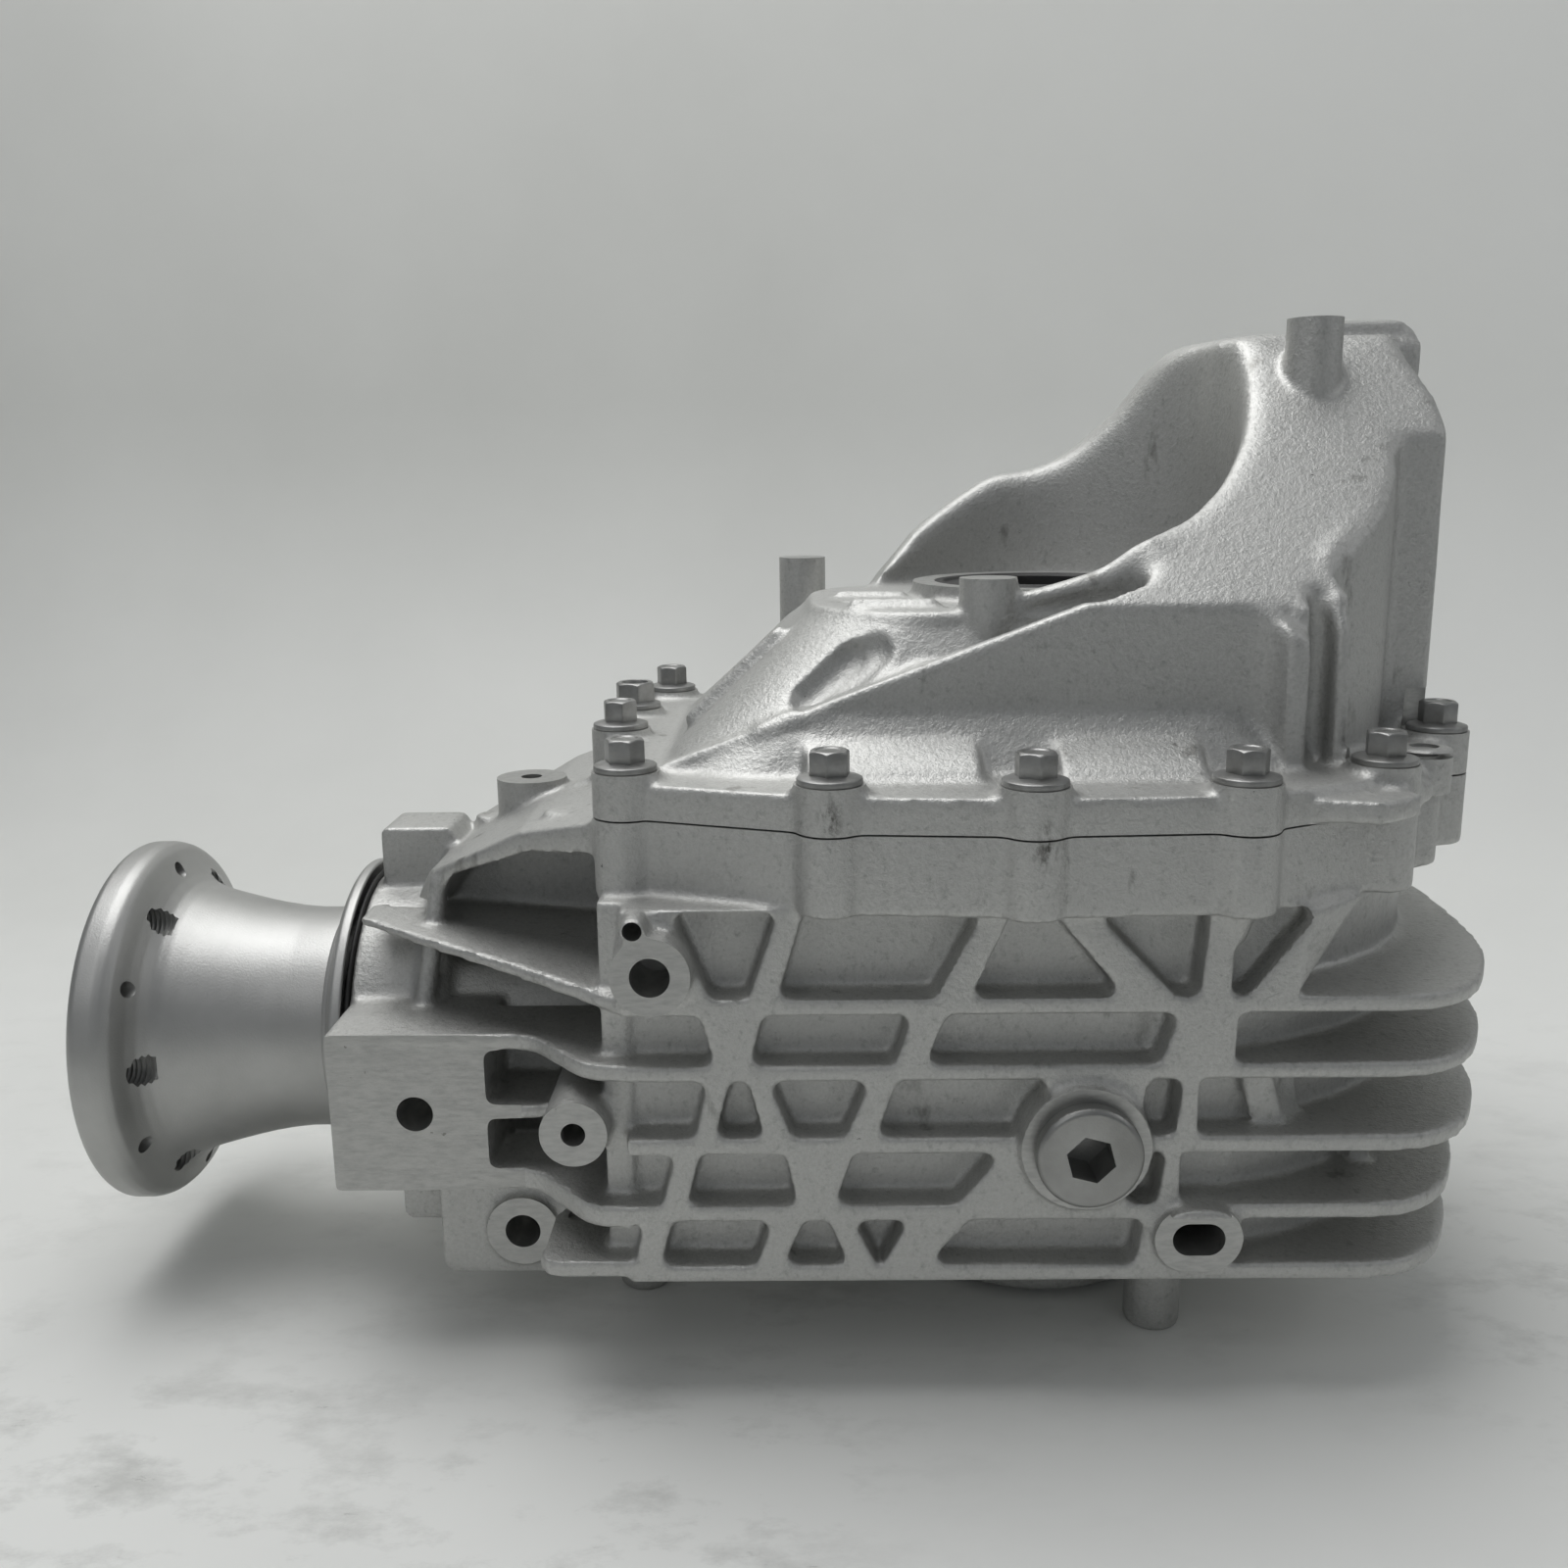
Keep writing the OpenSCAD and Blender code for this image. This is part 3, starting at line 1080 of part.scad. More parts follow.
housing();
cover();
joint_sealant();
cover_bolts();
stud_bolt();
joint_dowels();
fill_plug();
fill_plug_washer();
pinion_seal();
output_seal_cover();
output_seal_housing();
pinion_head_cup();
pinion_tail_cup();
pinion_depth_shim();
carrier_cup_cover();
carrier_cup_housing();
carrier_shim_cover();
carrier_shim_housing();
pinion_gear();
pinion_head_cone();
pinion_tail_cone();
crush_sleeve();
companion_flange();
dust_shield();
pinion_washer();
pinion_nut();
diff_case();
ring_gear();
ring_gear_bolts();
cross_pin();
lock_pin();
carrier_cone_cover();
carrier_cone_housing();
side_gear_washers();
spider_washers();
side_gear_upper();
side_gear_lower();
spider_gear_near();
spider_gear_far();
pinion_head_rollers();
pinion_tail_rollers();
carrier_rollers_cover();
carrier_rollers_housing();
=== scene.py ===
import math

import bmesh
import bpy
import numpy as np
from mathutils import Matrix, Vector


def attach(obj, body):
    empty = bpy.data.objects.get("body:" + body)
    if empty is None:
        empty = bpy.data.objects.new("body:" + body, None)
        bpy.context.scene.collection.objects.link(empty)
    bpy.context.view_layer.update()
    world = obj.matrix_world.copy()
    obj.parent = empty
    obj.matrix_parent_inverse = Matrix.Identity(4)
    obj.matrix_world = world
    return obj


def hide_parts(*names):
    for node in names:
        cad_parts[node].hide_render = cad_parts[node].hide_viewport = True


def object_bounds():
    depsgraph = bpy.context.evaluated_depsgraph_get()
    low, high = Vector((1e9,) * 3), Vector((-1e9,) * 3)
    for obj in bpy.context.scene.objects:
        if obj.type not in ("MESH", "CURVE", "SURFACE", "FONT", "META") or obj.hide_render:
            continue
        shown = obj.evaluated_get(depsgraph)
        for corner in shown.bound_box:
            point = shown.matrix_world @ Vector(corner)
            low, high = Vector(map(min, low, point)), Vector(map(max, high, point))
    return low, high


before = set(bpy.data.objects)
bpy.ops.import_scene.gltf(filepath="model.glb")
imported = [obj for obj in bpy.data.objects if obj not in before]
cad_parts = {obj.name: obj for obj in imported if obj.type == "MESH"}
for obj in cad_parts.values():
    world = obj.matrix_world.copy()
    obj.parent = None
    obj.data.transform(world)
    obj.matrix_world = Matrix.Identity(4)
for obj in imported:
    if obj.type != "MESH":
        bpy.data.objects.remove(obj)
cad_low, cad_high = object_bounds()

# Camera. It stands low in front of the ribbed side, a little to the left of the middle,
# and looks down by twelve degrees, as the photograph does.
eye = bpy.data.cameras.new("eye")
eye.sensor_width = 36
eye.lens = 32.87
eye.clip_start = 0.01
camera = bpy.data.objects.new("camera", eye)
camera.location = (-0.07746, -0.4633, 0.03384)
camera.rotation_euler = [math.radians(a) for a in (77.809, 0.674, 0.524)]
bpy.context.scene.collection.objects.link(camera)
bpy.context.scene.camera = camera
bpy.context.scene.view_settings.view_transform = "Standard"

# Studio floor. One sheet of pale board lies under the differential and curves up behind it.
# The differential stands on it with its three cast feet.
ground = cad_low[2]


def paint(name, colour, roughness, metallic=0.0):
    """A new node material with its plain values set, its nodes, its links and its shader."""
    material = bpy.data.materials.new(name)
    material.use_nodes = True
    nodes = material.node_tree.nodes
    shader = nodes["Principled BSDF"]
    shader.inputs["Base Color"].default_value = (*colour, 1)
    shader.inputs["Roughness"].default_value = roughness
    shader.inputs["Metallic"].default_value = metallic
    return material, nodes, material.node_tree.links, shader


def place_noise(nodes, links, scale, detail=3.0, rough=0.5, stretch=(1, 1, 1)):
    """A noise texture in object coordinates, with its cell size in metres."""
    where = nodes.new("ShaderNodeTexCoord")
    mapping = nodes.new("ShaderNodeMapping")
    mapping.inputs["Scale"].default_value = [s / scale for s in stretch]
    noise = nodes.new("ShaderNodeTexNoise")
    noise.inputs["Scale"].default_value = 1
    noise.inputs["Detail"].default_value = detail
    noise.inputs["Roughness"].default_value = rough
    links.new(where.outputs["Object"], mapping.inputs["Vector"])
    links.new(mapping.outputs["Vector"], noise.inputs["Vector"])
    return noise.outputs["Fac"]


def ramp(nodes, links, source, low, high, start=0.0, end=1.0):
    """Maps source from low..high to start..end, held at both ends."""
    node = nodes.new("ShaderNodeMapRange")
    for socket, value in (("From Min", low), ("From Max", high), ("To Min", start), ("To Max", end)):
        node.inputs[socket].default_value = value
    links.new(source, node.inputs["Value"])
    return node.outputs["Result"]


def blend_colour(nodes, links, factor, first, second, mode="MIX"):
    """Mixes two colours, given as values or as sockets."""
    mix = nodes.new("ShaderNodeMix")
    mix.data_type = "RGBA"
    mix.blend_type = mode
    for socket, value in (("Factor", factor), ("A", first), ("B", second)):
        plug = [i for i in mix.inputs if i.name == socket and (socket == "Factor" or i.type == "RGBA")][0]
        if isinstance(value, bpy.types.NodeSocket):
            links.new(value, plug)
        elif socket == "Factor":
            plug.default_value = value
        else:
            plug.default_value = (*value, 1)
    return [o for o in mix.outputs if o.type == "RGBA"][0]


def join_maths(nodes, links, how, first, second):
    """One step of arithmetic on sockets or numbers."""
    node = nodes.new("ShaderNodeMath")
    node.operation = how
    for plug, value in zip(node.inputs, (first, second)):
        if isinstance(value, bpy.types.NodeSocket):
            links.new(value, plug)
        else:
            plug.default_value = value
    return node.outputs[0]


def raise_bumps(nodes, links, shader, *layers):
    """Stacks bumps on a shader. Each layer is a height socket, a strength and a depth in metres."""
    below = None
    for height, strength, depth in layers:
        bump = nodes.new("ShaderNodeBump")
        bump.inputs["Strength"].default_value = strength
        bump.inputs["Distance"].default_value = depth
        links.new(height, bump.inputs["Height"])
        if below is not None:
            links.new(below, bump.inputs["Normal"])
        below = bump.outputs["Normal"]
    links.new(below, shader.inputs["Normal"])


board, nodes, links, shader = paint("pale_board", (0.7, 0.705, 0.69), 0.55)
clouds = ramp(nodes, links, place_noise(nodes, links, 0.35, 5, 0.6), 0.35, 0.7)
base = blend_colour(nodes, links, clouds, (0.70, 0.705, 0.68), (0.65, 0.655, 0.63))
# painted light and shade: base is the darker tone for the back wall, flat a lighter copy of it for the floor
# in front
flat = blend_colour(nodes, links, clouds, (0.86, 0.865, 0.84), (0.78, 0.785, 0.76))
# the sheet's coordinates, for the painted light and shade below and for the worn surface in front
where = nodes.new("ShaderNodeTexCoord")
split_up = nodes.new("ShaderNodeSeparateXYZ")
links.new(where.outputs["Object"], split_up.inputs["Vector"])
front = ramp(nodes, links, split_up.outputs["Y"], 0.25, -0.1)
# painted shade and light: the sheet goes from the lighter copy on the flat in front to the darker one up the
# back wall
base = blend_colour(nodes, links, ramp(nodes, links, split_up.outputs["Y"], 0.7, 0.1), base, flat)
# painted light: the sheet is lighter towards the right
right = ramp(nodes, links, split_up.outputs["X"], -0.1, 0.6, 0, 0.6)
base = blend_colour(nodes, links, right, base, (0.95, 0.955, 0.93))
# worn, smudged surface in front, where things are set down
veins = ramp(nodes, links, place_noise(nodes, links, 0.045, 9, 0.7, (1, 1.6, 1)), 0.5, 0.68, 0, 0.5)
smears = ramp(nodes, links, place_noise(nodes, links, 0.22, 3, 0.5), 0.34, 0.56)
wear = join_maths(nodes, links, "MULTIPLY", join_maths(nodes, links, "MULTIPLY", veins, smears), front)
base = blend_colour(nodes, links, wear, base, (0.38, 0.38, 0.36))
ticks = ramp(nodes, links, place_noise(nodes, links, 0.009, 4, 0.8, (1, 3, 1)), 0.62, 0.7, 0, 0.9)
base = blend_colour(nodes, links, join_maths(nodes, links, "MULTIPLY", ticks, wear), base, (0.1, 0.1, 0.09))
links.new(base, shader.inputs["Base Color"])

profile = [(-2.0, 0.0), (0.42, 0.0)]
for i in range(1, 13):
    turn = math.radians(90 * i / 12)
    profile.append((0.42 + 0.32 * math.sin(turn), 0.32 - 0.32 * math.cos(turn)))
profile.append((0.74, 2.4))
sheet = bpy.data.meshes.new("studio_floor")
sheet.from_pydata(
    [(x, y, ground + z) for x in (-3, 3) for y, z in profile], [],
    [(i, i + len(profile), i + len(profile) + 1, i + 1) for i in range(len(profile) - 1)])
sheet.polygons.foreach_set("use_smooth", [True] * len(sheet.polygons))
sheet.materials.append(board)
floor = bpy.data.objects.new("studio_floor", sheet)
bpy.context.scene.collection.objects.link(floor)

# Studio light. A large soft panel hangs above and a little behind the object, a weaker one
# stands beside the camera, and the room fills the rest.
world = bpy.data.worlds.new("room")
bpy.context.scene.world = world
world.use_nodes = True
world.node_tree.nodes["Background"].inputs["Color"].default_value = (0.9, 0.95, 1.0, 1)
world.node_tree.nodes["Background"].inputs["Strength"].default_value = 0.185
for name, place, target, size, power in (
        ("panel_above", (-0.35, 0.15, 1.25), (0, 0, -0.1), 1.1, 13.6),
        ("panel_front", (-0.8, -1.1, 1.0), (-0.05, 0, -0.1), 0.8, 2),
        ("panel_right", (1.4, -0.3, 0.8), (0.05, 0, -0.1), 0.8, 2)):
    lamp = bpy.data.lights.new(name, "AREA")
    lamp.energy = power
    lamp.size = size
    light = bpy.data.objects.new(name, lamp)
    light.location = place
    light.rotation_euler = (Vector(target) - Vector(place)).to_track_quat("-Z", "Y").to_euler()
    bpy.context.scene.collection.objects.link(light)

# Housing. One sand-cored aluminium casting with a truss and fins on its near side, shot-blasted,
# then milled flat on its joint face, its bosses and its lug block, and drilled.
split = 87.3
# the pinion's and the outputs' axes cross this far below the frame's origin, at the cover's bore face
crossing = 145.7
# the castings are remade with cells of this size, in metres
cell = 0.00105
dowel_hole = 4.03


def spot(x, y, z):
    """A place in the frame, for one that is measured in millimetres from where the axes cross."""
    return Vector((x, y, z - crossing)) / 1000


def place_of(vertex):
    """A vertex's place in millimetres from where the axes cross."""
    return vertex.co * 1000 + Vector((0, 0, crossing))


def welded_copy(node):
    """A node's mesh with its doubled points merged, so that it is one closed skin."""
    skin = bmesh.new()
    skin.from_mesh(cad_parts[node].data)
    bmesh.ops.remove_doubles(skin, verts=skin.verts, dist=1e-6)
    return skin


def add_rod(skin, start, end, radius, sides=64):
    """Adds a closed round bar between two places in millimetres."""
    a, b = spot(*start), spot(*end)
    along = (b - a).normalized()
    turn = along.to_track_quat("Z", "Y").to_matrix().to_4x4()
    bmesh.ops.create_cone(
        skin, cap_ends=True, segments=sides, radius1=radius / 1000, radius2=radius / 1000,
        depth=(b - a).length, matrix=Matrix.Translation((a + b) / 2) @ turn)


def add_pin(skin, place, front, back, radius, sides=64):
    """Adds a round bar that runs along y, at a place given as x and z."""
    add_rod(skin, (place[0], front, place[1]), (place[0], back, place[1]), radius, sides)


def add_post(skin, place, low, high, radius, sides=64):
    """Adds an upright round bar, at a place given as x and y."""
    add_rod(skin, (*place, low), (*place, high), radius, sides)


def add_block(skin, low, high):
    """Adds a closed box between two corners in millimetres."""
    a, b = spot(*low), spot(*high)
    size = Matrix.Diagonal((*(b - a), 1))
    bmesh.ops.create_cube(skin, size=1, matrix=Matrix.Translation((a + b) / 2) @ size)


def add_turned(skin, outline, start=(0, 0, 0), along=(-1, 0, 0), sides=128):
    """Adds a solid turned about an axis. The closed outline lists places along it and radii, in
    millimetres; a radius of 0 lies on the axis."""
    axis = Vector(along).normalized()
    across = axis.orthogonal().normalized()
    beside = axis.cross(across)
    rings = []
    for height, radius in outline:
        middle = Vector(start) + axis * height
        turns = [2 * math.pi * i / sides for i in range(sides)] if radius else [0]
        rings.append([skin.verts.new(spot(*(middle + radius * (across * math.cos(t) + beside * math.sin(t)))))
                      for t in turns])
    for a, b in zip(rings, rings[1:] + rings[:1]):
        for i in range(sides):
            k = (i + 1) % sides
            if len(a) > 1 and len(b) > 1:
                skin.faces.new((a[i], b[i], b[k], a[k]))
            elif len(b) > 1:
                skin.faces.new((a[0], b[i], b[k]))
            elif len(a) > 1:
                skin.faces.new((a[i], b[0], a[k]))
    bmesh.ops.recalc_face_normals(skin, faces=skin.faces)


def close_between(skin, low, high):
    """Adds a closed solid between two outlines with the same number of places in millimetres."""
    low = [skin.verts.new(spot(*p)) for p in low]
    high = [skin.verts.new(spot(*p)) for p in high]
    skin.faces.new(low)
    skin.faces.new(high[::-1])
    for i in range(len(low)):
        skin.faces.new((low[i], low[i - 1], high[i - 1], high[i]))
    bmesh.ops.recalc_face_normals(skin, faces=skin.faces)


def add_prism(skin, outline, bottom, top):
    """Adds a closed upright solid on an outline seen from above, in millimetres. bottom and top
    are heights, and top may be a function of the place."""
    close_between(skin, [(x, y, bottom) for x, y in outline],
                  [(x, y, top(x, y) if callable(top) else top) for x, y in outline])


def add_bead(skin, points, radius):
    """Adds a string of round bars with ball ends through places in millimetres."""
    for a, b in zip(points, points[1:]):
        add_rod(skin, a, b, radius, 16)
    for p in points:
        bmesh.ops.create_icosphere(skin, subdivisions=2, radius=radius / 1000,
                                   matrix=Matrix.Translation(spot(*p)))


def as_object(skin, name):
    """Turns a skin into an object of the scene."""
    mesh = bpy.data.meshes.new(name)
    skin.to_mesh(mesh)
    skin.free()
    piece = bpy.data.objects.new(name, mesh)
    bpy.context.scene.collection.objects.link(piece)
    return piece


def settle(piece):
    """Applies the modifiers of a piece to its mesh."""
    shown = piece.evaluated_get(bpy.context.evaluated_depsgraph_get())
    mesh = bpy.data.meshes.new_from_object(shown)
    piece.modifiers.clear()
    old = piece.data
    piece.data = mesh
    bpy.data.meshes.remove(old)


def drop(piece):
    """Removes a piece and its mesh."""
    mesh = piece.data
    bpy.data.objects.remove(piece)
    bpy.data.meshes.remove(mesh)


def soften(piece, rounding, filling, extra=None, crisp=None):
    """Rounds a remeshed skin as a casting is: outer edges a little, inner corners more.

    rounding and filling are numbers of passes. extra gives, for the points in millimetres,
    a share from 0 to 1 of how much more rounding an area gets, up to extra[1] passes. crisp gives
    a share from 0 to 1 of how far an area is spared."""
    mesh = piece.data
    count = len(mesh.vertices)
    points = np.empty(count * 3)
    mesh.vertices.foreach_get("co", points)
    points = points.reshape(-1, 3)
    ends = np.empty(len(mesh.edges) * 2, dtype=np.int64)
    mesh.edges.foreach_get("vertices", ends)
    a, b = ends.reshape(-1, 2).T
    degree = np.maximum(np.bincount(ends, minlength=count), 1)[:, None]
    loops = np.empty(len(mesh.loops), dtype=np.int64)
    mesh.loops.foreach_get("vertex_index", loops)
    quads = loops.reshape(-1, 4)
    share = None
    if extra is not None:
        share = extra[0](points * 1000 + (0, 0, crossing))[:, None]
    spared = crisp(points * 1000 + (0, 0, crossing))[:, None] if crisp else 0
    passes = rounding + filling + (extra[1] if extra else 0)
    for step in range(passes):
        middle = np.stack([
            np.bincount(a, points[b, k], count) + np.bincount(b, points[a, k], count)
            for k in range(3)], axis=1) / degree
        move = (middle - points) * 0.5 * (1 - 0.5 * spared)
        if step >= rounding:
            if step % 4 == 0 or step == rounding:
                p = points[quads]
                face = np.cross(p[:, 2] - p[:, 0], p[:, 3] - p[:, 1])
                out = np.stack([
                    sum(np.bincount(quads[:, c], face[:, k], count) for c in range(4))
                    for k in range(3)], axis=1)
                out /= np.maximum(np.linalg.norm(out, axis=1), 1e-12)[:, None]
            outward = (move * out).sum(1, keepdims=True)
            wanted = np.where(outward > 0, 1.0, 0.0) * (1 - spared)
            if share is not None:
                soft = np.clip(share * extra[1] - (step - rounding), 0, 1)
                wanted = np.maximum(wanted if step < rounding + filling else 0 * wanted, soft)
            move = move * wanted
        points = points + move
    mesh.vertices.foreach_set("co", points.ravel())
    mesh.update()


def thin_out(piece, faces):
    """Brings a dense skin down to about this many triangles."""
    triangles = sum(len(f.vertices) - 2 for f in piece.data.polygons)
    if triangles > faces:
        piece.modifiers.new("thin", "DECIMATE").ratio = faces / triangles
        settle(piece)


def cut_out(piece, cutter):
    """Takes the cutter's closed solid away from a piece, and removes the cutter."""
    cut = piece.modifiers.new("cut", "BOOLEAN")
    cut.operation = "DIFFERENCE"
    cut.solver = "MANIFOLD"
    cut.object = cutter
    settle(piece)
    drop(cutter)


def machine(piece, cutter, surface=1):
    """Cuts machined faces and bores into a casting, with crisp edges and a milled surface, or
    with the cast one where surface is 0."""
    for material in (casting, milled):
        cutter.data.materials.append(material)
    cutter.data.polygons.foreach_set("material_index", [surface] * len(cutter.data.polygons))
    cut_out(piece, cutter)
    piece.data.polygons.foreach_set("use_smooth", [True] * len(piece.data.polygons))
    piece.data.set_sharp_from_angle(angle=math.radians(42))


def remesh(piece, size):
    """Remakes a piece as one skin with even cells, which joins the solids it is made of."""
    grid = piece.modifiers.new("grid", "REMESH")
    grid.mode = "VOXEL"
    grid.voxel_size = size
    settle(piece)


def stain(nodes, links, *places):
    """A patchy dark mark at each place: its middle and its reach along each axis, in millimetres."""
    found = None
    where = nodes.new("ShaderNodeTexCoord")
    for x, y, z, across, deep, tall in places:
        reach = Vector((across, deep, tall)) / 1000
        shift = nodes.new("ShaderNodeMapping")
        shift.inputs["Scale"].default_value = [1 / r for r in reach]
        shift.inputs["Location"].default_value = [-a / r for a, r in zip(spot(x, y, z), reach)]
        far = nodes.new("ShaderNodeVectorMath")
        far.operation = "LENGTH"
        links.new(where.outputs["Object"], shift.inputs["Vector"])
        links.new(shift.outputs["Vector"], far.inputs[0])
        mark = ramp(nodes, links, far.outputs["Value"], 1.0, 0.3)
        found = mark if found is None else join_maths(nodes, links, "MAXIMUM", found, mark)
    patches = ramp(nodes, links, place_noise(nodes, links, 0.0028, 4, 0.7, (1, 1, 0.5)), 0.46, 0.62, 0, 0.85)
    return join_maths(nodes, links, "MULTIPLY", found, patches)


casting, nodes, links, shader = paint("blasted_aluminium", (0.5, 0.5, 0.49), 0.5, 0.9)
grain = place_noise(nodes, links, 0.0011, 3, 0.75)
speck = place_noise(nodes, links, 0.0024, 3, 0.7)
cloud = place_noise(nodes, links, 0.05, 4, 0.6)
oil = place_noise(nodes, links, 0.014, 5, 0.62, (1, 1, 0.45))
pores = place_noise(nodes, links, 0.005, 4, 0.8)
streaks = stain(nodes, links, (-70, -104, 92, 4, 6, 8), (-15, -109, 86, 4, 6, 9), (-118, -107, 42, 9, 3, 6))
clouded = ramp(nodes, links, cloud, 0.3, 0.7)
base = blend_colour(nodes, links, clouded, (0.39, 0.39, 0.375), (0.475, 0.475, 0.46))
base = blend_colour(nodes, links, ramp(nodes, links, grain, 0.35, 0.68, 0, 0.6), (0.56, 0.56, 0.545), base)
base = blend_colour(nodes, links, ramp(nodes, links, speck, 0.55, 0.75, 0, 0.45), base, (0.25, 0.25, 0.24))
base = blend_colour(nodes, links, ramp(nodes, links, oil, 0.64, 0.72, 0, 0.5), base, (0.13, 0.125, 0.11))
base = blend_colour(nodes, links, ramp(nodes, links, pores, 0.71, 0.74, 0, 0.8), base, (0.05, 0.05, 0.045))
base = blend_colour(nodes, links, streaks, base, (0.07, 0.065, 0.055))
links.new(base, shader.inputs["Base Color"])
links.new(ramp(nodes, links, cloud, 0.3, 0.7, 0.48, 0.58), shader.inputs["Roughness"])
raise_bumps(nodes, links, shader, (grain, 0.5, 0.0004), (speck, 0.35, 0.0008))

milled, nodes, links, shader = paint("milled_aluminium", (0.52, 0.52, 0.51), 0.4, 0.85)
grain = place_noise(nodes, links, 0.0006, 2, 0.6)
scuff = place_noise(nodes, links, 0.004, 4, 0.65, (1, 1, 4))
dirt = place_noise(nodes, links, 0.004, 3, 0.7)
base = blend_colour(nodes, links, ramp(nodes, links, scuff, 0.4, 0.7), (0.47, 0.47, 0.455), (0.4, 0.4, 0.39))
base = blend_colour(nodes, links, ramp(nodes, links, dirt, 0.7, 0.75, 0, 0.6), base, (0.12, 0.115, 0.1))
links.new(base, shader.inputs["Base Color"])
links.new(ramp(nodes, links, scuff, 0.35, 0.7, 0.36, 0.5), shader.inputs["Roughness"])
raise_bumps(nodes, links, shader, (grain, 0.2, 0.0002), (scuff, 0.15, 0.0004))

rim_bolts = [(-125.8, 76.1), (-69.8, 96), (-16.6, 100.8), (38.6, 98.5), (83.3, 75.8), (119.2, 25.5)]
rim_bolts = [(x, y * side) for x, y in rim_bolts for side in (-1, 1)] + [(-135.3, -7.4), (-135.1, 34.3)]
rim_dowel = (102.7, -55.3)
nose_dowel = (-132.2, -48)
# what is bored from the near side: x and z of each, then the y of the flats round them
truss_boss = (-117.6, 50.7)
truss_face = -107
clip_hole = (-121.8, 63.5)
side_boss = (-141, 2.5)
side_face = -99
lug_hole = (-191.6, -2.7)
lug_face = -74
lower_boss = (-164.2, -47.3)
lower_face = -62
plug_place = (0, -2)
plug_face = -101
roof_boss = (-166.5, 0.5)
roof_boss_top = 82.8
# stock for machining: each flat is cast this much proud
stock = 2.5
# height of each fin, and how far its right end is shifted from fin_end, which gives one half of that
# end's outline as y and x
fins = [(38.4, 0), (19.2, 0), (-2.1, 0), (-22.5, -4.5), (-40.9, -5)]
half_fin = 2.5
fin_end = [(98, 84), (97, 93), (94, 100), (89.5, 106), (84, 111), (76.5, 115.5), (68, 119.8), (60, 123),
           (48, 126), (30, 128.5), (12, 130), (0, 130.5)]
fin_sides, fin_reach = zip(*sorted(fin_end))

skin = welded_copy("housing")
for v in skin.verts:
    x, y, z = place_of(v)
    if abs(z - split) < 0.02 or abs(z - roof_boss_top) < 0.02:
        v.co.z += stock / 1000
    if abs(y - lug_face) < 0.02 and x < -165:
        v.co.y -= stock / 1000
    if min(abs(y - face) for face in (truss_face, plug_face, side_face, lower_face)) < 0.02:
        v.co.y -= stock / 1000
    # the roof over the nose is thinner at both sides, and the recess under it is deep
    roof = np.interp(x, (-190, -183, -157, -110), (48, 59, 69.5, 77))
    if abs(y) > 34.5 and -192 < x < -108 and abs(z - roof) < 0.3:
        v.co.z += 0.0035
    if abs(abs(y) - 34) < 0.02 and -193 < x < -109 and 29 < z < 81:
        v.co.y *= 0.6
    # two bosses, turned to the size of the real ones
    for (boss_x, boss_z), limit, old, new in ((truss_boss, -60, 9.75, 10.8), (lower_boss, -39, 13.5, 11)):
        away = math.hypot(x - boss_x, z - boss_z)
        if y < limit and abs(away - old) < 0.3:
            v.co.x += (x - boss_x) * (new / away - 1) / 1000
            v.co.z += (z - boss_z) * (new / away - 1) / 1000
    # the fins' right ends stay inside the outline that is added below
    for level, shift in fins:
        limit = np.interp(abs(y), fin_sides, fin_reach) + shift - 0.6
        if abs(z - level) < half_fin and x > max(limit, 84):
            v.co.x = limit / 1000
    # three pockets of the truss's bottom row are wider
    if y < -83 and -38.6 < z < -24.9:
        if -83 < x < -65 and z < -35:
            v.co.x += (x + 74.2) * 0.12 / 1000
        if -63 < x < -48 and z > -28:
            v.co.x += (x + 55.5) * 0.15 / 1000
        if -60 < x < -52 and z < -35:
            v.co.x -= (x + 56.4) * 0.45 / 1000
    # a truss bar leans back to the rim, a brace leans to the right
    if abs(z - 66.3) < 0.05 and abs(x - 75) < 0.05 and y < -97:
        v.co.y = -0.0885
    if -88 < y < -53 and 46 < x < 60 and -0.5 < z < 1.2:
        v.co.x += 0.008
# holes are filled here and cut crisp further down
add_pin(skin, truss_boss, truss_face - stock, -84, 7)
add_pin(skin, clip_hole, -107.5, -88, 3.4, 24)
# rib on the nose, free end of the bottom fin, brace between the fins
add_bead(skin, [(-193.3, -49, 22), (-190.8, -45, 40), (-188.6, -41, 59)], 3.1)
add_prism(skin, [(-124, -97.5), (-149.5, -97.5), (-153, -93.5), (-153, -72), (-148, -62), (-140, -58),
                 (-124, -56)], -42, -37)
add_bead(skin, [(58, -85, 17.5), (52, -85, 7)], 2.2)
# the fins' right ends, with their large round corners and, inside, the bowl's round wall
wall = [(27 + 82 * math.cos(math.radians(a)), 82 * math.sin(math.radians(a))) for a in range(58, -59, -4)]
for level, shift in fins:
    end = [(x + shift, y) for y, x in fin_end]
    add_prism(skin, [(70, -97.8)] + [(x, -y) for x, y in end] + end[::-1] + [(70, 97.8)] + wall,
              level - half_fin, level + half_fin)
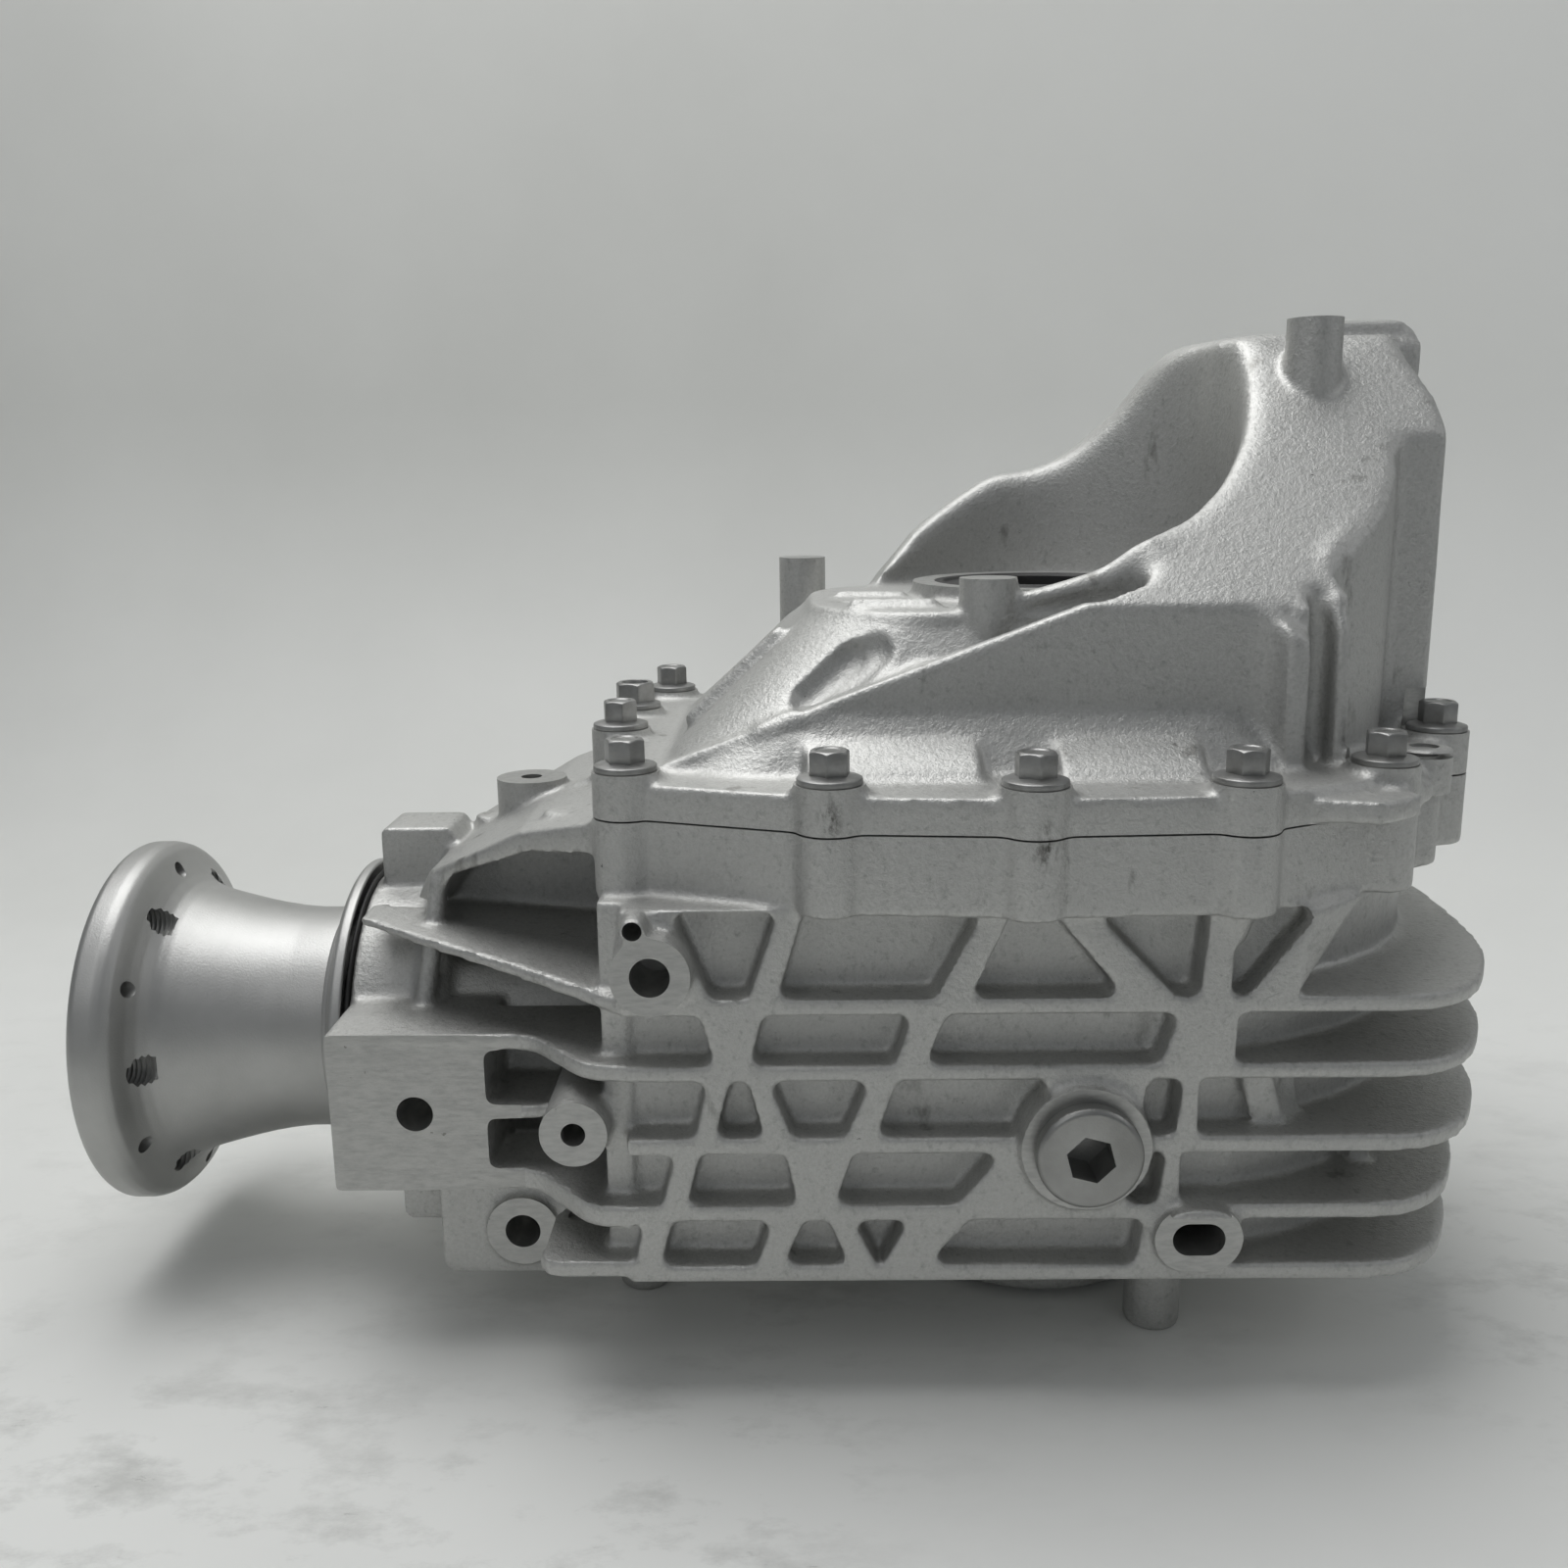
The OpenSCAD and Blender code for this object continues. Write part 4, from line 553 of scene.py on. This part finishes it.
# cone under a bolt boss
add_turned(skin, [(0, 0), (0, 7), (-11, 3.4), (-13.5, 0)], start=(38.6, -93.4, 66), along=(0, 0, 1), sides=32)
add_pin(skin, side_boss, side_face - stock, -76, 5)
add_pin(skin, lug_hole, lug_face - stock, -51, 7)
add_pin(skin, lower_boss, lower_face - stock, -18.5, 7)
add_pin(skin, plug_place, plug_face - stock, -84, 10.5)
add_post(skin, roof_boss, 60, roof_boss_top + stock, 5)
add_block(skin, (24.1, -103.5, -34.5), (39.7, -90.5, -23.9))
for place in rim_bolts + [rim_dowel, nose_dowel]:
    add_post(skin, place, 66, split + 2.4, 5.5, 24)
add_post(skin, (0, 0), -77, -30, 39)
add_rod(skin, (-217, 0, 0), (-95, 0, 0), 44)
housing = as_object(skin, "housing_casting")
housing.data.materials.append(casting)
housing.data.materials.append(milled)
remesh(housing, cell)
soften(housing, 3, 7)
thin_out(housing, 170000)

skin = bmesh.new()
add_block(skin, (-230, -140, split), (160, 140, split + 30))
add_pin(skin, truss_boss, -125, truss_face, 13)
machine(housing, as_object(skin, "rim_flat"))
skin = bmesh.new()
add_block(skin, (-222, -90, -33), (-160, lug_face, 30))
machine(housing, as_object(skin, "lug_flat"))
skin = bmesh.new()
add_pin(skin, truss_boss, -125, -86, 5.4)
add_pin(skin, side_boss, -115, side_face, 13)
add_pin(skin, plug_place, -115, plug_face, 21)
add_post(skin, roof_boss, roof_boss_top, 95, 15)
add_pin(skin, lower_boss, -90, lower_face, 16)
add_block(skin, (18, -115, -40), (46, -101, -21.5))
machine(housing, as_object(skin, "boss_flats"))
skin = bmesh.new()
add_pin(skin, side_boss, -110, -78, 3.4)
add_pin(skin, clip_hole, -110, -91, 2.6, 32)
add_post(skin, (-145, -71), -38.4, -33, 3.4, 32)
add_pin(skin, lug_hole, -90, -53, 5.4)
add_pin(skin, lower_boss, -90, -10, 5.4)
add_pin(skin, plug_place, -115, -80, 9.03)
add_post(skin, roof_boss, 64.8, 95, 3.4)
for place in rim_bolts:
    add_post(skin, place, 68.3, split + 5, 4.05, 32)
for place in (rim_dowel, nose_dowel):
    add_post(skin, place, 78.3, split + 5, dowel_hole, 32)
slot = [(31.9 + s * (2.5 + 4.8 * math.cos(math.radians(a))), -29.2 + s * 4.8 * math.sin(math.radians(a)))
        for s in (1, -1) for a in range(-90, 91, 9)]
close_between(skin, [(x, -80, z) for x, z in slot], [(x, -110, z) for x, z in slot])
machine(housing, as_object(skin, "bores"))
skin = bmesh.new()
add_turned(skin, [(-100, 0), (-100, 60), (-78, 60), (-78, 33.73), (-69.5, 33.73), (-69.5, 28), (-58, 28),
                  (-58, 37.53), (-20, 37.53), (-20, 0)], along=(0, 0, 1))
add_turned(skin, [(250, 0), (250, 70), (218, 70), (218, 43), (204.5, 43), (204.5, 36.03), (182.5, 36.03),
                  (182.5, 34), (111.5, 34), (111.5, 40.03), (80, 40.03), (80, 0)])
machine(housing, as_object(skin, "shaft_bores"))

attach(housing, "casing")
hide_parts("housing")

# Cover. The upper aluminium casting, with the dome over the ring gear and the tall arm that curls
# round the output bore. Blasted like the housing, then milled on its joint face and bolt seats.
seat = 100.3
cover_under = 87.8
dowel_face = 98.3
front_post = (-22.9, -49.3)
rear_post = (-76, 66)
post_top = 150.1
arm_post = (82.8, 0)
arm_post_top = 224.7
arm_top = 222


def from_posts(x, y):
    """How far places lie from the nearer one of the two posts on the near side, seen from above."""
    return np.minimum(np.hypot(x - arm_post[0], y - arm_post[1]),
                      np.hypot(x - front_post[0], y - front_post[1]))


def near_lip(points):
    """How much softer the arm's lip and shoulders are cast, from 0 to 1."""
    x, y, z = points.T
    ring = np.abs(np.hypot(x - 2, y - 10) - 60)
    lip = np.clip(1.6 - ring / 10, 0, 1) * np.clip((z - 146) / 8, 0, 1)
    shoulder = np.clip((x - 20) / 20, 0, 1) * np.clip((z - 150) / 20, 0, 1) * 0.16
    knob = np.clip(1.8 - np.sqrt((x - 20) ** 2 + (y + 47) ** 2 + (z - 158) ** 2) / 11, 0, 1) * 0.4
    ribs = np.where((x > 44) & (x < 81) & (y < -52) & (z > 130), 0.12, 0)
    return np.where(from_posts(x, y) < 12, 0, np.max([lip, shoulder, knob, ribs], axis=0))


def near_crisp(points):
    """Where the cover's inner corners stay sharp: at the posts' feet, in the groove, on thin ribs."""
    x, y, z = points.T
    along = np.clip(((x + 57) * -22 + (y + 60) * -9.5 + (z - 132) * -17) / 863, 0, 1)
    groove = np.sqrt((x + 57 + 22 * along) ** 2 + (y + 60 + 9.5 * along) ** 2 + (z - 132 + 17 * along) ** 2)
    tongue = (x > 55) & (x < 92) & (y < -78) & (z > 86) & (z < 97)
    ribs = (x > 55) & (x < 80) & (y < -64) & (z > 100) & (z < 130)
    ridge = (x < -80) & (z > 101) & (np.abs(y + 26) < 6)
    return np.where((from_posts(x, y) < 13) | (groove < 11) | tongue | ribs | ridge, 0.85, 0)


def slope(x, y):
    """Height of the arm's slope over a place."""
    return 143 + (y + 68) * 0.952


def web_top(x, y):
    """Height of the web's low end, in front of the groove, over a place."""
    return 99 + (x + 118.7) * 0.3728


def left_rib_top(x, y):
    """Height of the left end rib, which bends down as it leaves the web."""
    return min(slope(x, y), 142.5) - max(x - 54, 0) ** 2 * 0.05


skin = welded_copy("cover")
for v in skin.verts:
    x, y, z = place_of(v)
    if abs(z - cover_under) < 0.02:
        v.co.z -= stock / 1000
    if min(abs(z - face) for face in (seat, dowel_face, post_top, arm_post_top)) < 0.02:
        v.co.z += stock / 1000
for place in rim_bolts:
    add_post(skin, place, 84.8, seat + 2.6, 6, 24)
for v in skin.verts:
    x, y, z = place_of(v)
    # the arm's slope bulges up towards its top
    if x > -60 and y > -67.9 and abs(z - 143 - (y + 68) * 0.8) < 0.06:
        if abs(z - arm_top) < 0.06:
            v.co.y = 0.015
        else:
            v.co.z = (min(slope(x, y), arm_top) - crossing) / 1000
    # the side column is narrower, the right rib too; the rib behind the front post is lower
    if y < 9 and x > 119.5 and z > 128 and z < 203:
        v.co.x = 0.1195
    if x > 75.3 and x < 79 and -66 < y < -60 and z > 100:
        v.co.x = 0.0753
    if x > 77 and x < 79 and -57 < y < -55 and z > 100:
        v.co.x = 0.0705
        v.co.y = -0.0585
    if -53.1 < y < -46.9 and -25 < x < 12 and z > 143.9 and z < 158:
        v.co.z -= 0.0035
    if -53.1 < y < -46.9 and 12 <= x < 20.5 and z > 150 and z < 164:
        v.co.z -= 0.0015
# the end of the web, the slope's round right border, the column's ledge, the closed top of the slot
add_block(skin, (44, -68, 97), (58, -60, 142))
add_prism(skin, [(68.7, -60), (73.8, -56.9), (80.6, -52.3), (89.5, -44.3), (95, -37.7), (99.6, -29.8),
                 (102.1, -20), (102.1, -10), (92, -28), (80, -43), (68, -54)], 98, slope)
add_prism(skin, [(101, -19), (117.5, -19), (119.5, -16), (119.5, -7), (101, -7)], 98, slope)
add_prism(skin, [(61.5, -62.5), (71.5, -62.5), (71.5, -49), (61.5, -49)], 98, slope)
# the two end ribs: the left one swells out of the web, both curve back into the slope
add_prism(skin, [(45, -67.6), (49, -68.3), (52, -69.8), (54.5, -72.2), (56, -75), (60.5, -75), (62, -74),
                 (62.5, -62), (45, -62)], 97, left_rib_top)
add_bead(skin, [(73.2, -67.5, 97), (72.4, -67.5, 135), (71.4, -65, 141), (69.5, -62, 143)], 2.5)
# the rounded ridge from the post up to the knob
add_bead(skin, [(-14.8, -52, 142.9), (-5.2, -52, 145.7), (4.4, -52, 148.5), (12, -52, 150.8),
                (14.8, -52, 153.6), (17.8, -51, 157.9)], 2.6)
# the web's low end, in front of the groove, and the groove's foot
low_web = [(-101, -68), (-36, -68), (-36, -62), (-101, -62)]
add_prism(skin, low_web, 97, web_top)
add_bead(skin, [(-70, -64.5, 113), (-80, -65.5, 110.5), (-88, -66, 107)], 4.5)
# ridges down the nose-side slope, tongue on the rim, block under the arm's cross boss
add_bead(skin, [(-83.4, -26, 132.1), (-110.9, -26, 105.9)], 2.4)
add_bead(skin, [(-93, 10, 120.6), (-105, 10, 109.2)], 1.7)
add_prism(skin, [(58, -96.5), (74, -100.6), (79.5, -97.4), (88, -90.8), (86.4, -82), (58, -82)], 88.2, 94.6)
add_block(skin, (88, 21, 205), (120, 39, 226.5))
# the plateau's ribs are lower and round, and so is its edge
for v in skin.verts:
    x, y, z = place_of(v)
    if -70 < x < -36 and 141.2 < z < 143.6 and -45 < y < -14:
        v.co.z -= 0.004
add_bead(skin, [(-64, -4, 141.6), (-45, -6, 141.6)], 2)
add_bead(skin, [(-61, -40.5, 141.8), (-38, -43, 141.8)], 2.2)
edge_height = 138.6
edge = []
for middle_y, first in ((-18, 270), (18, 180)):
    for turn in (math.radians(first - 15 * k) for k in range(7)):
        edge.append((-38 + 34.4 * math.cos(turn), middle_y + 34.4 * math.sin(turn), edge_height))
add_bead(skin, [(20, -52.4, edge_height)] + edge + [(-30, 52.4, edge_height)], 2.3)
for place in (rim_dowel, nose_dowel):
    add_post(skin, place, 84.8, 94, 5, 24)
add_post(skin, rim_dowel, 84.8, 100.9, 5, 24)
add_post(skin, (0, 0), 99, 148.2, 39)
add_post(skin, (0, 0), 140, 148.2, 40.6)
cover = as_object(skin, "cover_casting")
cover.data.materials.append(casting)
cover.data.materials.append(milled)
remesh(cover, cell)
# the groove down the dome, which the web closes in front
groove_radius = 6.3
groove_length = 17
rounded_end = [(groove_radius * math.sin(math.radians(a)), groove_radius * math.cos(math.radians(a)))
               for a in range(10, 90, 10)]
skin = bmesh.new()
add_turned(skin, [(-groove_radius, 0)] + [(-h, r) for h, r in rounded_end[::-1]]
           + [(0, groove_radius), (groove_length, groove_radius)]
           + [(groove_length + h, r) for h, r in rounded_end] + [(groove_length + groove_radius, 0)],
           start=(-62.5, -58, 129.5), along=(-22, -11, -17), sides=32)
machine(cover, as_object(skin, "groove_core"), 0)
skin = bmesh.new()
skin.from_mesh(cover.data)
add_prism(skin, low_web, 97, web_top)
skin.to_mesh(cover.data)
skin.free()
remesh(cover, cell)
soften(cover, 3, 10, (near_lip, 90), near_crisp)
thin_out(cover, 150000)

skin = bmesh.new()
add_block(skin, (-170, -140, 60), (160, 140, cover_under))
for place in rim_bolts:
    add_post(skin, place, seat, seat + 12, 10.2)
add_post(skin, front_post, post_top, 160, 12)
add_post(skin, rear_post, post_top, 160, 12)
add_post(skin, arm_post, arm_post_top, 235, 12)
add_post(skin, rim_dowel, dowel_face, 99.9, 9)
add_post(skin, (0, 0), crossing, 155, 43)
machine(cover, as_object(skin, "cover_flats"))
skin = bmesh.new()
for place in rim_bolts:
    add_post(skin, place, 80, 110, 4.5, 32)
add_post(skin, rim_dowel, 80, 110, dowel_hole, 32)
add_post(skin, nose_dowel, 80, 93.8, dowel_hole, 32)
add_turned(skin, [(80, 0), (80, 37.53), (120, 37.53), (120, 28), (137.2, 28), (137.2, 33.73), (160, 33.73),
                  (160, 0)], along=(0, 0, 1))
add_rod(skin, (124.5, 30, 212), (100, 30, 212), 5.1, 32)
machine(cover, as_object(skin, "cover_bores"))
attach(cover, "casing")
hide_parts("cover")

# Joint sealant. A thin line of grey silicone squeezed between the two castings, laid by hand
# before the cover went on.


def mottle(nodes, links, shader, patches, low, high, first, second):
    """Lets a shader's colour go from first to second where the patches go from low to high."""
    share = ramp(nodes, links, patches, low, high)
    links.new(blend_colour(nodes, links, share, first, second), shader.inputs["Base Color"])


silicone, nodes, links, shader = paint("cured_silicone", (0.03, 0.03, 0.03), 0.6)
dust = place_noise(nodes, links, 0.006, 3, 0.7)
mottle(nodes, links, shader, dust, 0.45, 0.65, (0.02, 0.02, 0.02), (0.09, 0.09, 0.085))
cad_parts["joint_sealant"].data.materials[0] = silicone

# Cover bolts and the stud bolt. Forged and rolled, with a wide washer face, zinc plated; the
# fourteen of them clamp the cover to the housing. One has a taller, wider hexagon with a recess.
plated, nodes, links, shader = paint("plated_steel", (0.5, 0.5, 0.49), 0.42, 0.9)
grain = place_noise(nodes, links, 0.0008, 2, 0.6)
cloud = place_noise(nodes, links, 0.006, 3, 0.6)
mottle(nodes, links, shader, cloud, 0.35, 0.7, (0.36, 0.36, 0.355), (0.26, 0.26, 0.25))
raise_bumps(nodes, links, shader, (grain, 0.25, 0.0002), (cloud, 0.2, 0.0004))


def finish_piece(piece, material, body, node, angle=32):
    """Gives a new piece its material and its body, in place of the plain CAD node."""
    # a cut leaves an empty first slot, which would hide the material
    piece.data.materials.clear()
    piece.data.materials.append(material)
    piece.data.polygons.foreach_set("use_smooth", [True] * len(piece.data.polygons))
    piece.data.set_sharp_from_angle(angle=math.radians(angle))
    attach(piece, body)
    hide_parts(node)


def eased(outline, reach, steps=4):
    """A closed outline with its corners rounded over this length, or less where an edge is short."""
    points = []
    for i in range(len(outline)):
        a, b, c = (Vector(outline[(i + k) % len(outline)]) for k in (-1, 0, 1))
        if b.y == 0:
            points.append(tuple(b))
            continue
        u = (a - b) * min(reach / (a - b).length, 0.45)
        v = (c - b) * min(reach / (c - b).length, 0.45)
        for t in (k / steps for k in range(steps + 1)):
            points.append(tuple(b + u * (1 - t) ** 2 + v * t ** 2))
    return points


def add_bolt(skin, x, y, across, turn, recess):
    """Adds a flange bolt that sits on its boss, with its shank down in the housing."""
    shank = [(-27, 0), (-27, 3.9), (0, 3.9), (0, 8.8), (1.6, 8.8), (2, 7.6), (2.6, across * 0.5), (2.6, 0)]
    add_turned(skin, eased(shank, 0.35), start=(x, y, seat), along=(0, 0, 1), sides=64)
    rings = []
    for height, size in ((2, None), (None, None), (9, 0.465), (9, 0.37), (recess, 0.34), (recess, 0)):
        ring = []
        for i in range(48):
            a = math.radians(i * 7.5)
            side = across / 2 / math.cos((a + math.pi / 6) % (math.pi / 3) - math.pi / 6)
            radius = side if size is None else across * size
            top = 9 - max(0, side - across * 0.465) * 0.6 if height is None else height
            ring.append(spot(x + radius * math.cos(a + turn), y + radius * math.sin(a + turn), seat + top))
        rings.append([skin.verts.new(p) for p in (ring if radius else ring[:1])])
    skin.faces.new(rings[0][::-1])
    for a, b in zip(rings, rings[1:]):
        for i in range(48):
            k = (i + 1) % 48
            skin.faces.new((a[i], a[k], b[k], b[i]) if len(b) > 1 else (a[i], a[k], b[0]))


for name, node, places, across, recess in (
        ("flange_bolts", "cover_bolts", rim_bolts[:-1], 10, 8.6),
        ("stud_head_bolt", "stud_bolt", rim_bolts[-1:], 12.4, 4)):
    skin = bmesh.new()
    for x, y in places:
        add_bolt(skin, x, y, across, math.radians(x * 7), recess)
    bolts = as_object(skin, name)
    edge = bolts.modifiers.new("edge", "BEVEL")
    edge.width = 0.00022
    edge.segments = 2
    edge.angle_limit = math.radians(35)
    settle(bolts)
    finish_piece(bolts, plated, "casing", node, 50)

# Fill plug and its washer. Turned steel with a hexagon socket, screwed into the near side on a
# soft aluminium ring.
turned_steel, nodes, links, shader = paint("turned_steel", (0.5, 0.5, 0.49), 0.4, 0.9)
grain = place_noise(nodes, links, 0.0008, 2, 0.6)
cloud = place_noise(nodes, links, 0.02, 4, 0.6)
mottle(nodes, links, shader, cloud, 0.3, 0.7, (0.4, 0.4, 0.39), (0.28, 0.28, 0.27))
raise_bumps(nodes, links, shader, (grain, 0.35, 0.0003))
plug_start = (plug_place[0], plug_face, plug_place[1])
skin = bmesh.new()
add_turned(skin, eased([(-13, 0), (-13, 8.6), (1.5, 8.9), (1.5, 14.6), (5, 14.6), (6.1, 13.4),
                        (6.1, 0)], 0.6), start=plug_start, along=(0, -1, 0), sides=96)
plug = as_object(skin, "socket_plug")
for outline, sides in (([(-6, 0), (-6, 6.93), (8, 6.93), (8, 0)], 6),
                       ([(4.9, 0), (6.5, 8.2), (8, 8.2), (8, 0)], 64)):
    skin = bmesh.new()
    add_turned(skin, outline, start=plug_start, along=(0, -1, 0), sides=sides)
    cut_out(plug, as_object(skin, "socket"))
finish_piece(plug, turned_steel, "casing", "fill_plug")
skin = bmesh.new()
add_turned(skin, eased([(0, 9.2), (0, 14), (1.5, 14), (1.5, 9.2)], 0.3), start=plug_start,
           along=(0, -1, 0), sides=96)
finish_piece(as_object(skin, "sealing_ring"), turned_steel, "casing", "fill_plug_washer")

# Seals. Black rubber moulded on a steel ring, pressed into the castings round the three shafts.
rubber, nodes, links, shader = paint("seal_rubber", (0.018, 0.018, 0.018), 0.55)
bloom = place_noise(nodes, links, 0.012, 4, 0.6)
mottle(nodes, links, shader, bloom, 0.4, 0.7, (0.014, 0.014, 0.014), (0.035, 0.035, 0.034))
skin = bmesh.new()
add_turned(skin, eased([(208, 42.97), (218, 42.97), (218, 50.8), (219.2, 50.8), (219.2, 39), (211, 39),
                        (211, 27.4), (209.5, 27.1), (208, 28.5)], 0.5))
finish_piece(as_object(skin, "nose_seal"), rubber, "casing", "pinion_seal")
for name, node, place, way in (("upper_shaft_seal", "output_seal_cover", crossing, -1),
                               ("lower_shaft_seal", "output_seal_housing", -78, 1)):
    skin = bmesh.new()
    add_turned(skin, eased([(0, 20), (0, 24), (0.9, 25), (0.9, 30), (0, 31), (0, 33.7), (8.5, 33.7),
                            (8.5, 30.7), (2.2, 30.7), (2.2, 24), (7.5, 24), (7.5, 20)], 0.4),
               start=(0, 0, place), along=(0, 0, way))
    finish_piece(as_object(skin, name), rubber, "casing", node)

# Companion flange. Forged steel, turned all over and blasted, on the pinion's spline; six threaded
# holes take the shaft's bolts and six small ones stand between them.
forged, nodes, links, shader = paint("blasted_steel", (0.5, 0.5, 0.49), 0.46, 0.88)
grain = place_noise(nodes, links, 0.0007, 2, 0.6)
lathe = place_noise(nodes, links, 0.0016, 3, 0.6, (1, 0.02, 0.02))
cloud = place_noise(nodes, links, 0.03, 4, 0.6)
mottle(nodes, links, shader, cloud, 0.3, 0.7, (0.41, 0.41, 0.4), (0.485, 0.485, 0.475))
raise_bumps(nodes, links, shader, (grain, 0.3, 0.00022), (lathe, 0.08, 0.0002))
flare = [(225, 36.9), (243, 37), (250, 37.7), (256, 38.7), (262, 40), (268, 41.5), (274, 43.1), (279, 44.7),
         (282, 46.2), (284.6, 48.6), (286.6, 51.8), (287.8, 55), (289, 57.4), (291.2, 59.2), (293.8, 60)]
skin = bmesh.new()
add_turned(skin, eased([(201.5, 17), (201.5, 26), (206, 27), (220, 27), (223, 35.4)] + flare
                       + [(299.4, 60), (301.2, 58.8), (302, 56.4), (302, 30), (287, 30), (287, 28), (264, 28),
                          (264, 17)], 0.9), sides=160)
flange = as_object(skin, "shaft_flange")
skin = bmesh.new()
for i in range(6):
    a = math.radians(60 * i + 30)
    thread = [(310, 0), (310, 5.1), (301.8, 5.1), (301, 4.25)]
    for k in range(13):
        crest = 300.6 - 1.5 * k
        thread += [(crest, 4.25), (crest - 0.6, 5), (crest - 0.8, 5), (crest - 1.4, 4.25)]
    add_turned(skin, thread + [(280, 4.25), (280, 0)],
               start=(0, -47 * math.sin(a), 47 * math.cos(a)), sides=28)
    a = math.radians(60 * i)
    add_turned(skin, [(310, 0), (310, 2.6), (270, 2.6), (270, 0)],
               start=(0, -52 * math.sin(a), 52 * math.cos(a)), sides=32)
cut_out(flange, as_object(skin, "holes"))
finish_piece(flange, forged, "pinion", "companion_flange")

# Dust shield. A ring pressed from steel sheet, pushed on the flange's hub so that it turns with
# the flange and keeps dirt off the nose seal.
skin = bmesh.new()
add_turned(skin, eased([(230.5, 36.95), (230.5, 37.9), (228.4, 38.6), (227.4, 42), (224, 52), (222.6, 53.5),
                        (219.6, 53.5), (219.6, 52.2), (222, 52.2), (222.8, 50.5), (226, 41),
                        (226.6, 36.95)], 0.8), sides=160)
finish_piece(as_object(skin, "shield_ring"), forged, "pinion", "dust_shield")

# Pinion nut and washer, and the dowels of the joint. Plated steel: the nut clamps the flange at the
# bottom of its bore, the dowels are pressed in the housing. Their CAD solids are shown.
for node in ("pinion_nut", "pinion_washer", "joint_dowels"):
    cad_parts[node].data.materials[0] = plated

# Bearings and shims. Taper rollers between cones and cups, all of ground bearing steel. The cups and
# shims are pressed in the castings, the cones on the shafts. Their CAD solids are shown.
ground_steel, nodes, links, shader = paint("ground_steel", (0.55, 0.55, 0.55), 0.25, 0.95)
film = place_noise(nodes, links, 0.01, 3, 0.6)
links.new(ramp(nodes, links, film, 0.3, 0.7, 0.2, 0.34), shader.inputs["Roughness"])
for node in ("pinion_head_cup", "pinion_tail_cup", "pinion_depth_shim", "carrier_cup_cover",
             "carrier_cup_housing", "carrier_shim_cover", "carrier_shim_housing", "pinion_head_cone",
             "pinion_tail_cone", "carrier_cone_cover", "carrier_cone_housing", "pinion_head_rollers",
             "pinion_tail_rollers", "carrier_rollers_cover", "carrier_rollers_housing"):
    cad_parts[node].data.materials[0] = ground_steel

# Gears and their shafts. Case-hardened steel with lapped teeth and a film of oil, turning in the
# bearings and in the differential case. Their CAD solids are shown.
hardened, nodes, links, shader = paint("hardened_steel", (0.27, 0.27, 0.28), 0.34, 0.92)
film = place_noise(nodes, links, 0.008, 3, 0.6)
mottle(nodes, links, shader, film, 0.35, 0.7, (0.3, 0.3, 0.31), (0.2, 0.195, 0.19))
for node in ("pinion_gear", "crush_sleeve", "ring_gear", "ring_gear_bolts", "cross_pin", "lock_pin",
             "side_gear_washers", "spider_washers", "side_gear_upper", "side_gear_lower", "spider_gear_near",
             "spider_gear_far"):
    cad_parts[node].data.materials[0] = hardened

# Differential case. A machined iron casting, bolted to the ring gear, that holds the side gears and
# the spider gears. Its CAD solid is shown.
iron, nodes, links, shader = paint("oiled_iron", (0.13, 0.13, 0.13), 0.5, 0.7)
grain = place_noise(nodes, links, 0.0015, 3, 0.6)
raise_bumps(nodes, links, shader, (grain, 0.25, 0.0003))
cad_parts["diff_case"].data.materials[0] = iron
